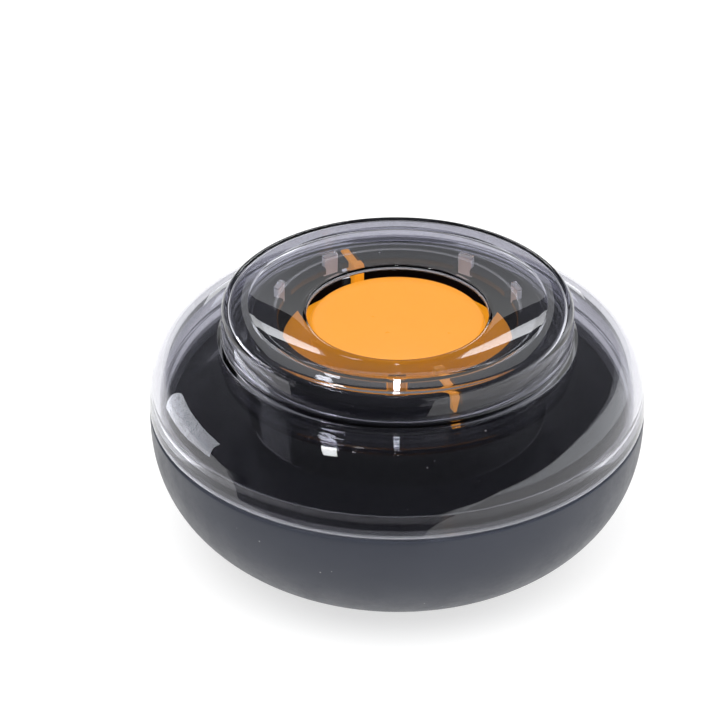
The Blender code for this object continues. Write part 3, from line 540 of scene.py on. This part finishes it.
def bowl_outline():
    rim = [(MAX_R, SEAM_LOW, 0.3), (MAX_R - 1.6, SEAM_LOW, 0.2)]
    ledge_z = low("inner_deck").z + 3.4
    ledge = [(MAX_R - 1.6, 23.4), (39.0, 23.4, 0.2), (39.0, 22.0)]
    inner = [p for p in reversed(bowl_curve(WALL)) if p[1] < ledge_z]
    side = bowl_curve(0.0)
    # a ring just inside the flat underside's edge keeps its shading flat
    return [(0.0, FLAT_Z), (side[0][0] - 0.4, FLAT_Z), *side, *rim, *ledge, *inner, (0.0, FLAT_Z + WALL)]


def door_plan(grow):
    """The battery door's plan: a plate with rounded corners, and the ear that its screw goes through."""
    corner_low, corner_high = low("battery_door"), high("battery_door")
    ear = middle("battery_door_screw")
    plate_high = ear.y - 2.8
    plate = box_plan(corner_low.x - grow, corner_low.y - grow, corner_high.x + grow, plate_high + grow, 1.2)
    plate_solid = prism("plate", plate, -1.0, 5.6)
    ear_solid = rod("ear", 3.0 + grow, -1.0, 5.6, ear.xy)
    return combine(plate_solid, "UNION", ear_solid)


def base_bowl():
    """The dark lower shell, with the openings in its underside and what they lead into."""
    bowl = lathe("base_shell", bowl_outline())
    speaker, record_at = middle("speaker_frame"), middle("record_button")
    power, mic = middle("power_switch_knob"), middle("microphone")
    post = [(0, 2.0), (3.9, 2.0), (3.9, POST_TOP, 0.3), (0, POST_TOP)]
    fittings = [lathe("post", post, at, FINE) for at in housing_posts()]
    fittings.append(tube("seat", 12.0, 13.3, 2.4, 5.6, speaker.xy))
    fittings.append(tube("guide", 3.6, 4.5, 2.4, 8.0, record_at.xy))
    for fitting in fittings:
        combine(fitting, "INTERSECT", lathe("inside", [(0, 1.4), *bowl_curve(0.6), (0, WIDEST)]))
    combine(bowl, "UNION", *fittings)

    def hole(radius, top, at, flare=0.35):
        mouth = FLAT_Z + flare
        outline = [(0, -2.0), (radius + 2.8 + flare, -2.0), (radius, mouth), (radius, top), (0, top)]
        return lathe("hole", outline, at, FINE)

    def slot(x, y, half_x, half_y, top):
        rounding = min(half_x, half_y) * 0.98
        return prism("slot", box_about(x, y, half_x, half_y, rounding), -2.0, top)

    holes = [rod("well", 2.8, -2.0, 8.9, at) for at in housing_posts()]
    holes += [rod("bore", 1.5, 8.0, POST_TOP + 1.0, at) for at in housing_posts()]
    holes += [hole(2.9, 2.0, middle(f"rubber_foot_{i}").xy, 0.2) for i in (1, 2, 3, 4)]
    for row in (-8, -4, 0, 4, 8):
        holes.append(slot(speaker.x, speaker.y + row, 10.0 - abs(row) * 0.45, 0.9, 4.9))
    holes.append(hole(2.9, 4.0, record_at.xy))
    holes.append(hole(0.8, 4.0, mic.xy, 0.2))
    holes.append(slot(power.x, power.y + 1.0, 1.3, 2.8, 4.0))
    return stand_for(combine(bowl, "DIFFERENCE", *holes, door_plan(GAP)), "base_bowl")


def battery_door():
    door = combine(lathe("battery_cover", bowl_outline()), "INTERSECT", door_plan(0.0))
    ear = middle("battery_door_screw").xy
    hole = lathe("hole", [(0, -1.0), (2.2, -1.0), (2.2, 1.9), (1.2, 1.9), (1.2, 4.0), (0, 4.0)], ear, FINE)
    # a row of grip ribs by the door's plain edge: shallow grooves across it
    y = low("battery_door").y
    grooves = [
        prism("groove", box_plan(-7.0, y + 2.0 + 1.6 * i, 7.0, y + 2.7 + 1.6 * i, 0.34), -1.0, FLAT_Z + 0.35)
        for i in range(4)
    ]
    return stand_for(combine(door, "DIFFERENCE", hole, *grooves), "battery_door")


def inner_deck():
    """The black deck and its turret, with slots for the button's keys and notches for the collar's lugs."""
    lip = TURRET_TOP - 1.5
    guide_top = DECK_TOP + 10.0
    outline = [
        (4.2, 23.7), (4.2, guide_top, 0.3), (5.8, guide_top, 0.3), (5.8, DECK_TOP, 0.8),
        (24.4, DECK_TOP, 0.8),
        (24.4, lip, 0.3), (21.2, lip, 0.3), (21.2, TURRET_TOP, 0.4), (TURRET_R, TURRET_TOP, 0.6),
        (TURRET_R, DECK_TOP, 0.25), (DECK_R, DECK_TOP, 0.4), (DECK_R, 23.7, 0.3),
    ]
    deck = lathe("black_deck", outline)
    board_posts = [middle(f"board_screw_{i}").xy for i in (1, 2, 3)]
    board_top = high("circuit_board").z
    places = [(at, 3.4, 1.5, POST_TOP + GAP) for at in housing_posts()]
    places += [(at, 2.4, 1.0, board_top + GAP) for at in board_posts]
    bosses, cuts = [], []
    for at, radius, bore, foot in places:
        bosses.append(lathe("boss", [(0, foot), (radius, foot, 0.2), (radius, 24.8), (0, 24.8)], at, FINE))
        cuts.append(rod("bore", bore, foot - 1.0, 24.4, at))
    combine(deck, "UNION", *bosses)
    for angle in KEYS:
        cuts.append(prism("key_slot", box_plan(20.9, -1.1, 27.4, 1.1, 0.3), KEY_FOOT - 2.3, 44.0, angle))
    for angle in LUGS:
        cuts.append(prism("notch", box_plan(20.9, -1.8, 23.5, 1.8, 0.4), lip - 1.0, 44.0, angle))
    return stand_for(combine(deck, "DIFFERENCE", *cuts), "inner_deck")


def clear_dome():
    """The clear upper shell, with a thick foot at the seam and a wide hole for the collar."""
    step, hole_r = WIDEST + 4.6, COLLAR_R - 1.3
    inner = list(reversed(dome_curve(WALL, step + 0.4)))
    outline = [
        (41.0, SEAM_HIGH - 2.6, 0.2), (42.1, SEAM_HIGH - 2.6, 0.2), (42.1, SEAM_HIGH),
        (MAX_R, SEAM_HIGH, 0.3),
        *dome_curve(0.0, SEAM_HIGH + 0.6), (hole_r, DOME_TOP, 0.3), (hole_r, DOME_TOP - WALL, 0.3),
        *inner, (41.0, step, 0.3),
    ]
    return stand_for(lathe("clear_cover", outline), "clear_dome", 60)


def clear_collar():
    """The clear collar: foot, wall, rolled rim, dished top round the button's opening, and the snap lugs."""
    foot, inner = COLLAR_FOOT, COLLAR_R - 1.4
    roof = COLLAR_TOP - 1.3
    under = list(dish_curve(DISH_WALL, OPENING_R + 1.0, DISH_R - 0.4))
    outline = [
        (28.2, foot - 1.7, 0.3), (29.3, foot - 1.7, 0.3), (29.3, foot), (COLLAR_R + 0.8, foot, 0.2),
        (COLLAR_R + 0.8, foot + 0.45, 0.2), (COLLAR_R, foot + 1.1, 0.6), (COLLAR_R, COLLAR_TOP, 1.6),
        (DISH_R + 0.6, COLLAR_TOP, 0.3), *reversed(dish_curve(0.0, OPENING_R + 0.2, DISH_R)),
        (OPENING_R, OPENING_Z - 0.15), (OPENING_R, OPENING_Z - 0.85), *under,
        (26.4, roof, 0.3), (inner, roof, 0.5), (inner, foot + 0.8, 0.3), (28.2, foot + 0.8, 0.3),
    ]
    collar = lathe("clear_ring", outline)
    lip = TURRET_TOP - 1.5
    for angle in LUGS:
        leg = prism("leg", box_plan(22.2, -1.5, 23.2, 1.5, 0.25), lip - 0.9, OPENING_Z + 0.5, angle)
        hook = prism("hook", box_plan(22.3, -1.4, 23.9, 1.4, 0.2), lip - 0.8, lip - 0.3, angle)
        combine(collar, "UNION", leg, hook)
    return stand_for(collar, "clear_collar", 60)


def button_cap():
    """The orange button: a finger disc with a soft edge, its column and flange, and two keys."""
    outline = [
        (0, CAP_TOP - 0.4), (5.0, CAP_TOP - 0.37), (9.0, CAP_TOP - 0.26), (12.5, CAP_TOP - 0.1),
        (CAP_R, CAP_TOP, 0.8), (CAP_R, CAP_FLANGE_TOP, 0.2), (20.5, CAP_FLANGE_TOP, 0.3),
        (20.5, CAP_FOOT, 0.2),
        (14.0, CAP_FOOT, 0.2), (14.0, CAP_TOP - 1.9), (0, CAP_TOP - 1.9),
    ]
    cap = lathe("orange_button", outline)
    for angle in KEYS:
        plan = box_plan(18.6, -1.0, 20.4, 1.0, 0.25)
        root = prism("root", plan, CAP_FLANGE_TOP - 0.7, KEY_STOP, angle, edge=0.3)
        key = wedge("key", 20.0, 26.1, 0.8, 0.2, KEY_FOOT, KEY_TOP, angle)
        combine(cap, "UNION", root, key)
    return stand_for(cap, "button_cap")


def turned_pieces():
    """The other turned pieces, each from its outline."""
    plunger_low, plunger_high = low("button_plunger").z, high("button_plunger").z
    plate = plunger_high - 1.6
    outlines = {"button_plunger": [
        (0, plunger_low), (3.9, plunger_low, 0.5), (3.9, plate, 0.6), (13.6, plate, 0.3),
        (13.6, plunger_high, 0.3),
        (0, plunger_high),
    ]}
    z, top = low("record_button").z, high("record_button").z
    outlines["record_button"] = [
        (0, z + 0.35), (1.4, z + 0.2), (2.6, z, 0.4), (2.6, 3.7), (3.3, 3.7, 0.2), (3.3, 4.7, 0.3),
        (1.6, 5.3),
        (1.6, top, 0.3), (0, top),
    ]
    foot_top = high("rubber_foot_1").z
    for i in (1, 2, 3, 4):
        outlines[f"rubber_foot_{i}"] = [(0, 0), (2.6, 0, 0.4), (2.6, foot_top, 0.1), (0, foot_top)]
    z = low("speaker_frame").z
    outlines["speaker_frame"] = [
        (11.3, z, 0.2), (13.5, z, 0.3), (13.5, z + 1.0, 0.3), (12.6, z + 1.0, 0.4), (8.6, z + 3.7, 0.4),
        (4.5, z + 3.7), (4.5, z + 2.8), (8.2, z + 2.8, 0.4), (11.3, z + 0.8, 0.3),
    ]
    outlines["speaker_cone"] = [
        (0, z + 0.9), (2.4, z + 1.05), (4.2, z + 1.5, 0.4), (9.4, z + 0.45, 0.5), (10.2, z + 0.75, 0.4),
        (10.9, z + 0.2), (10.9, z + 0.5), (4.6, z + 2.0, 0.4), (0, z + 2.0),
    ]
    outlines["speaker_magnet"] = [
        (0, z + 2.9), (4.0, z + 2.9, 0.2), (4.0, z + 4.0, 0.2), (7.5, z + 4.0, 0.3), (7.5, z + 7.2, 0.3),
        (0, z + 7.2),
    ]
    for node, outline in outlines.items():
        steps = ROUND // 2 if node == "button_plunger" else FINE
        stand_for(lathe(f"{node}_turned", outline, middle(node).xy, steps), node, 45)


def screw_heads():
    """The screws that show in the underside: pan heads with a cross recess, and threaded shanks."""
    for node in ("housing_screw_1", "housing_screw_2", "housing_screw_3", "battery_door_screw"):
        head_low, tip = low(node).z, high(node).z
        radius = (high(node).x - low(node).x) / 2
        height = 0.7 if node == "battery_door_screw" else 1.6
        shank = 0.9 if node == "battery_door_screw" else 1.2
        seat, at = head_low + height, middle(node).xy
        thread, z = [], seat + 0.5
        while z < tip - shank - 0.5:
            thread += [(shank, z), (shank * 0.82, z + 0.25), (shank * 0.82, z + 0.35), (shank, z + 0.6)]
            z += 0.7
        outline = [
            (0, head_low), (radius * 0.55, head_low), (radius, head_low + height * 0.45, 0.3),
            (radius, seat, 0.1), (shank, seat), *thread, (shank, tip - shank), (0.2, tip), (0, tip),
        ]
        screw = lathe(f"{node}_head", outline, at, FINE)
        arm, half = radius * 0.6, radius * 0.13
        top = head_low + height * 0.55
        for x, y in ((arm, half), (half, arm)):
            recess = prism("recess", box_about(at.x, at.y, x, y, 0.05), head_low - 1.0, top)
            combine(screw, "DIFFERENCE", recess)
        stand_for(screw, node, 50)


def power_knob():
    """The power switch's knob, with grooves across it for a fingertip."""
    node = "power_switch_knob"
    corner_low, corner_high = low(node), high(node)
    x, y = middle(node).xy
    steps = 5
    profile = [(corner_low.y, corner_high.z), (corner_low.y, corner_low.z + 0.2, 0.2)]
    for i in range(1, steps):
        groove = corner_low.y + (corner_high.y - corner_low.y) * i / steps
        profile.append((groove - 0.15, corner_low.z))
        profile.append((groove, corner_low.z + 0.3))
        profile.append((groove + 0.15, corner_low.z))
    profile += [(corner_high.y, corner_low.z + 0.2, 0.2), (corner_high.y, corner_high.z)]
    points = rounded(profile)
    count = len(points)
    verts = [(side, p.x, p.y) for side in (corner_low.x, corner_high.x) for p in points]
    faces = [list(range(count)), list(range(count, 2 * count))]
    faces += [(i, (i + 1) % count, count + (i + 1) % count, count + i) for i in range(count)]
    knob = mesh_object("slide_knob", verts, faces)
    return stand_for(knob, node, 30)


def return_spring():
    """The button's spring: a round wire with its end turns closed."""
    node = "return_spring"
    wire, sides, per_turn = 0.45, 12, 48
    z_low, z_high = low(node).z + wire, high(node).z - wire
    radius = (high(node).x - low(node).x) / 2 - wire
    turns = 7.0
    verts, faces = [], []
    count = int(turns * per_turn)
    for i in range(count + 1):
        turn = turns * i / count
        closed = 0.9 * 2 * wire
        free = (z_high - z_low - 2 * closed) / (turns - 2)
        if turn < 1:
            z = z_low + closed * turn
        elif turn > turns - 1:
            z = z_high - closed * (turns - turn)
        else:
            z = z_low + closed + free * (turn - 1)
        out = Vector((cos(2 * pi * turn), sin(2 * pi * turn), 0.0))
        for side in range(sides):
            a = 2 * pi * side / sides
            verts.append(out * (radius + wire * cos(a)) + Vector((0, 0, z + wire * sin(a))))
    for i in range(count):
        for side in range(sides):
            a, b = i * sides + side, i * sides + (side + 1) % sides
            faces.append((a, b, b + sides, a + sides))
    faces += [list(range(sides)), list(range(count * sides, (count + 1) * sides))]
    spring = stand_for(mesh_object("button_spring", verts, faces), node)
    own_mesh(spring)


def eased(node, bevel=0.15, levels=0):
    """A new piece in a CAD node's shape, welded, with its edges eased and, on round wires, made finer."""
    shape = bmesh.new()
    shape.from_mesh(frame["nodes"][node].data)
    bmesh.ops.remove_doubles(shape, verts=shape.verts, dist=1e-6)
    bmesh.ops.dissolve_limit(shape, angle_limit=radians(1), verts=shape.verts, edges=shape.edges)
    mesh = bpy.data.meshes.new(f"{node}_fine")
    shape.to_mesh(mesh)
    shape.free()
    piece = bpy.data.objects.new(f"{node}_fine", mesh)
    bpy.context.scene.collection.objects.link(piece)
    if bevel:
        ease = piece.modifiers.new("ease", "BEVEL")
        ease.width = bevel * MM
        ease.segments = 3
        ease.limit_method = "ANGLE"
        ease.angle_limit = radians(40)
    if levels:
        finer = piece.modifiers.new("finer", "SUBSURF")
        finer.levels = finer.render_levels = levels
    return stand_for(piece, node, 40)


def inner_pieces():
    """What works inside the housing, from the CAD shapes."""
    done = {name for row in bpy.data.objects for name in row.get("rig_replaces", [])}
    for node in sorted(frame["nodes"]):
        if node in done:
            continue
        round_wire = "lead" in node or node.startswith("contact_spring")
        thin = node.startswith(("contact_plate", "circuit_board", "resistor"))
        eased(node, 0.0 if round_wire else 0.08 if thin else 0.2, 1 if round_wire else 0)


# ---------------------------------------------------------------- stage, light and camera

def emitter(name, strength, soft=False):
    """A glow. A soft one follows its mesh's glow values, from 0 to 1."""
    material = bpy.data.materials.new(name)
    material.use_nodes = True
    tree = material.node_tree
    tree.nodes.remove(tree.nodes["Principled BSDF"])
    glow = tree.nodes.new("ShaderNodeEmission")
    glow.inputs["Color"].default_value = (0.96, 0.98, 1.0, 1.0)
    glow.inputs["Strength"].default_value = strength
    if soft:
        share = tree.nodes.new("ShaderNodeAttribute")
        share.attribute_name = "glow"
        scaled = tree.nodes.new("ShaderNodeMath")
        scaled.operation = "MULTIPLY"
        scaled.inputs[1].default_value = strength
        tree.links.new(share.outputs["Fac"], scaled.inputs[0])
        tree.links.new(scaled.outputs[0], glow.inputs["Strength"])
    tree.links.new(glow.outputs[0], tree.nodes["Material Output"].inputs["Surface"])
    return material


def seen_by(thing, camera=False, diffuse=False, glossy=False, transmission=False, shadow=False):
    """Which kinds of light ray meet a thing."""
    thing.visible_camera = camera
    thing.visible_diffuse = diffuse
    thing.visible_glossy = glossy
    thing.visible_transmission = transmission
    thing.visible_shadow = shadow


def direction(turn, rise):
    """A unit vector: turn in degrees from the front towards the right, rise in degrees above the horizon."""
    a, e = radians(turn), radians(rise)
    return Vector((sin(a) * cos(e), -cos(a) * cos(e), sin(e)))


def between(table, key):
    """Linear interpolation in a table of (key, value) rows, held level past its ends."""
    for (a, low_value), (b, high_value) in zip(table, table[1:]):
        if a <= key <= b:
            return low_value + (high_value - low_value) * (key - a) / (b - a)
    return table[0][1] if key < table[0][0] else table[-1][1]


def floor():
    """A pale glowing table top in two parts. Both show, but only the near one is mirrored in the buzzer's
    gloss, as if the room beyond it in front were dark."""
    glow = {"Emission_Color": (1.0, 1.0, 1.0, 1.0), "Emission_Strength": 0.62}
    paint = Nodes("floor_paint", (0.45, 0.45, 0.45), 0.9, **glow)
    paint.set_colour(paint.mix(paint.noise(60.0), (0.445, 0.445, 0.445), (0.455, 0.455, 0.455)))
    paint.set_bump(paint.noise(1.5), 0.01, 0.2)
    # from below the floor doesn't show, so that the buzzer's underside can be looked at
    geometry = paint.tree.nodes.new("ShaderNodeNewGeometry")
    hidden = paint.tree.nodes.new("ShaderNodeBsdfTransparent")
    sides = paint.tree.nodes.new("ShaderNodeMixShader")
    paint.link(geometry.outputs["Backfacing"], sides.inputs[0])
    paint.link(paint.shader.outputs[0], sides.inputs[1])
    paint.link(hidden.outputs[0], sides.inputs[2])
    paint.link(sides.outputs[0], paint.tree.nodes["Material Output"].inputs["Surface"])
    # how far the near part reaches in millimetres, at each turn from the front
    reach = [(-180, 1500), (-95, 1500), (-80, 400), (-68, 160), (-58, 88), (8, 82)]
    reach += [(25, 150), (35, 290), (45, 1500)]
    sectors, far = 240, 3000.0
    drop = Vector((0.0, 0.0, -0.02))
    near_ring, far_ring, verts = [], [], [drop]
    for i in range(sectors):
        turn = 360.0 * i / sectors - 180.0
        for ring, radius in ((near_ring, between(reach, turn)), (far_ring, far)):
            ring.append(len(verts))
            verts.append(direction(turn, 0.0) * radius + drop)
    near_faces, far_faces = [], []
    for i in range(sectors):
        j = (i + 1) % sectors
        near_faces.append((0, near_ring[i], near_ring[j]))
        far_faces.append((near_ring[i], far_ring[i], far_ring[j], near_ring[j]))
    for name, faces, near in (("floor_near", near_faces, True), ("floor_far", far_faces, False)):
        part = mesh_object(name, verts, faces)
        if part.data.polygons[0].normal.z < 0:
            part.data.flip_normals()
        part.data.materials.append(paint.material)
        seen_by(part, True, True, near, near, True)


def card(name, strength, corners, glossy=True, through=False):
    """A glowing four-cornered card. It shows in gloss and, where through is set, beyond clear plastic."""
    made = mesh_object(name, corners, [(0, 1, 2, 3)])
    made.data.materials.append(emitter(name, strength))
    seen_by(made, glossy=glossy, transmission=through)


def facing(centre, target, width, height):
    """The corners of an upright rectangle about centre that faces target."""
    away = (centre - target).normalized()
    across = away.cross(Vector((0.0, 0.0, 1.0))).normalized()
    side, rise = across * width / 2, across.cross(away) * height / 2
    return [centre - side - rise, centre + side - rise, centre + side + rise, centre - side + rise]


def wall(name, strength, rows, soft, low_rise=-16.0, distance=1300.0):
    """A glowing wall with soft edges. A row's turn, rise and share say where it stands, how high and how
    bright."""
    verts, values, faces = [], [], []
    for turn, rise, share in rows:
        for height, value in ((low_rise, share), (max(low_rise, rise - soft), share), (rise + soft, 0.0)):
            verts.append(direction(turn, height) * distance)
            values.append(value)
    for i in range(len(rows) - 1):
        for j in range(2):
            a = 3 * i + j
            faces.append((a, a + 3, a + 4, a + 1))
    made = mesh_object(name, verts, faces)
    made.data.attributes.new("glow", "FLOAT", "POINT").data.foreach_set("value", values)
    made.data.materials.append(emitter(name, strength, True))
    seen_by(made, glossy=True, transmission=True)


def room():
    """The dark room that the gloss mirrors, with the pale walls to the right and left of the buzzer."""
    for name, radius, strength, glossy in (("room", 2.6, 0.03, True), ("room_through", 2.7, 0.3, False)):
        shell = bpy.data.meshes.new(name)
        shape = bmesh.new()
        bmesh.ops.create_icosphere(shape, subdivisions=4, radius=radius)
        shape.to_mesh(shell)
        shape.free()
        dark = bpy.data.objects.new(name, shell)
        bpy.context.scene.collection.objects.link(dark)
        shell.materials.append(emitter(name, strength))
        seen_by(dark, glossy=glossy, transmission=not glossy)
    right = [(14, -14, 0.0), (25, -9, 0.7), (35, -4, 1.0), (44, 4, 1.0), (65, 14, 1.0), (80, 22, 1.0)]
    right += [(93, 27, 1.0), (110, 28, 1.0), (125, 24, 0.9), (142, 20, 0.35), (160, 16, 0.1)]
    left = [(200, 14, 0.1), (215, 8, 0.3), (227, 5, 0.4), (250, 4, 0.4), (264, 3, 0.4)]
    left += [(275, -5, 0.3), (292, -9, 0.0)]
    for name, rows, soft in (("wall_right", right, 1.0), ("wall_left", left, 4.0)):
        wall(name, 2.2, rows, soft)


def lamps():
    """Small bright lamps whose glints show on the clear plastic."""
    # two behind the buzzer, from one turn and rise to another, for the streaks on the dish
    spans = {"lamp_back_right": (165.0, 176.0, 14.0, 19.5), "lamp_back_left": (183.0, 196.0, 15.5, 22.0)}
    for name, (first, last, foot, top) in spans.items():
        places = ((first, foot), (last, foot), (last, top), (first, top))
        card(name, 3.0, [direction(turn, rise) * 1200.0 for turn, rise in places], True, True)
    # one over the button, for the stars in front. It looks brighter through the collar's wall, which dims it
    front = Vector((0.0, -34.0, 40.0))
    corners = facing(front + direction(180, 39) * 45.0, front, 1.2, 13.0)
    card("lamp_middle", 40.0, corners)
    card("lamp_middle_through", 220.0, corners, False, True)
    # a leaning strip: its lower half shows through the collar's wall and its upper half straight off the dome
    foot, joint = [(-17.5, 50, 98), (-14.0, 50, 98)], [(-19.5, 18, 120), (-25.5, 18, 120)]
    top = [(-27.0, -12, 133), (-34.0, -12, 133)]
    card("lamp_left_low", 18.0, foot + joint, False, True)
    card("lamp_left_high", 18.0, joint[::-1] + top)
    # a pale thing that stands low beside the buzzer, which the collar's wall mirrors through the dome
    card("low_left", 8.0, [(-100, -28, 24), (-100, 32, 18), (-100, 32, 62), (-100, -28, 62)], False, True)
    # a dim sheet over the back, for the grey sheen on the dish
    dish = Vector((0.0, 20.0, 45.0))
    card("above_back", 1.1, facing(dish + direction(180, 47) * 95.0, dish, 70.0, 44.0))


def soft_lights():
    """Two broad lights that shade the buzzer and don't show in its gloss."""
    distance, size = 1.1, 0.9
    for name, place, power in (("key", direction(-35, 62), 6.0), ("fill", direction(60, 50), 4.0)):
        data = bpy.data.lights.new(name, "AREA")
        data.shape = "DISK"
        data.size = size
        data.energy = power
        light = bpy.data.objects.new(name, data)
        bpy.context.scene.collection.objects.link(light)
        light.location = place * distance
        light.rotation_mode = "QUATERNION"
        light.rotation_quaternion = (-place).to_track_quat("-Z", "Y")
        light.visible_glossy = False
        light.visible_camera = False
        light.visible_transmission = False


def world():
    made = bpy.data.worlds.new("studio")
    bpy.context.scene.world = made
    made.use_nodes = True
    background = made.node_tree.nodes["Background"]
    background.inputs["Color"].default_value = (1.0, 1.0, 1.0, 1.0)
    background.inputs["Strength"].default_value = 1.0


def camera():
    """A long lens that looks down on the buzzer from the front. The buzzer stands a little right of and below
    the picture's middle."""
    data = bpy.data.cameras.new("camera")
    data.lens = 147.8
    data.sensor_width = 36.0
    made = bpy.data.objects.new("camera", data)
    bpy.context.scene.collection.objects.link(made)
    rise, distance = 32.6, 0.528
    back = direction(0, rise)
    upward = direction(180, 90 - rise)
    target = Vector((0.0, 0.0, WIDEST * MM))
    made.location = target + back * distance
    aim = target + Vector((-6.64 * MM, 0.0, 0.0)) + upward * 7.86 * MM
    made.rotation_mode = "QUATERNION"
    made.rotation_quaternion = (aim - made.location).to_track_quat("-Z", "Y")
    data.clip_start = 0.01
    data.clip_end = 20.0
    bpy.context.scene.camera = made


camera()
for make in (base_bowl, battery_door, inner_deck, clear_dome, clear_collar, button_cap, turned_pieces):
    make()
for make in (screw_heads, power_knob, return_spring, inner_pieces):
    make()
for clear_piece in ("clear_cover", "clear_ring"):
    bpy.data.objects[clear_piece].visible_shadow = False
for make in (floor, room, lamps, soft_lights, world):
    make()
bpy.context.scene.view_settings.view_transform = "Standard"
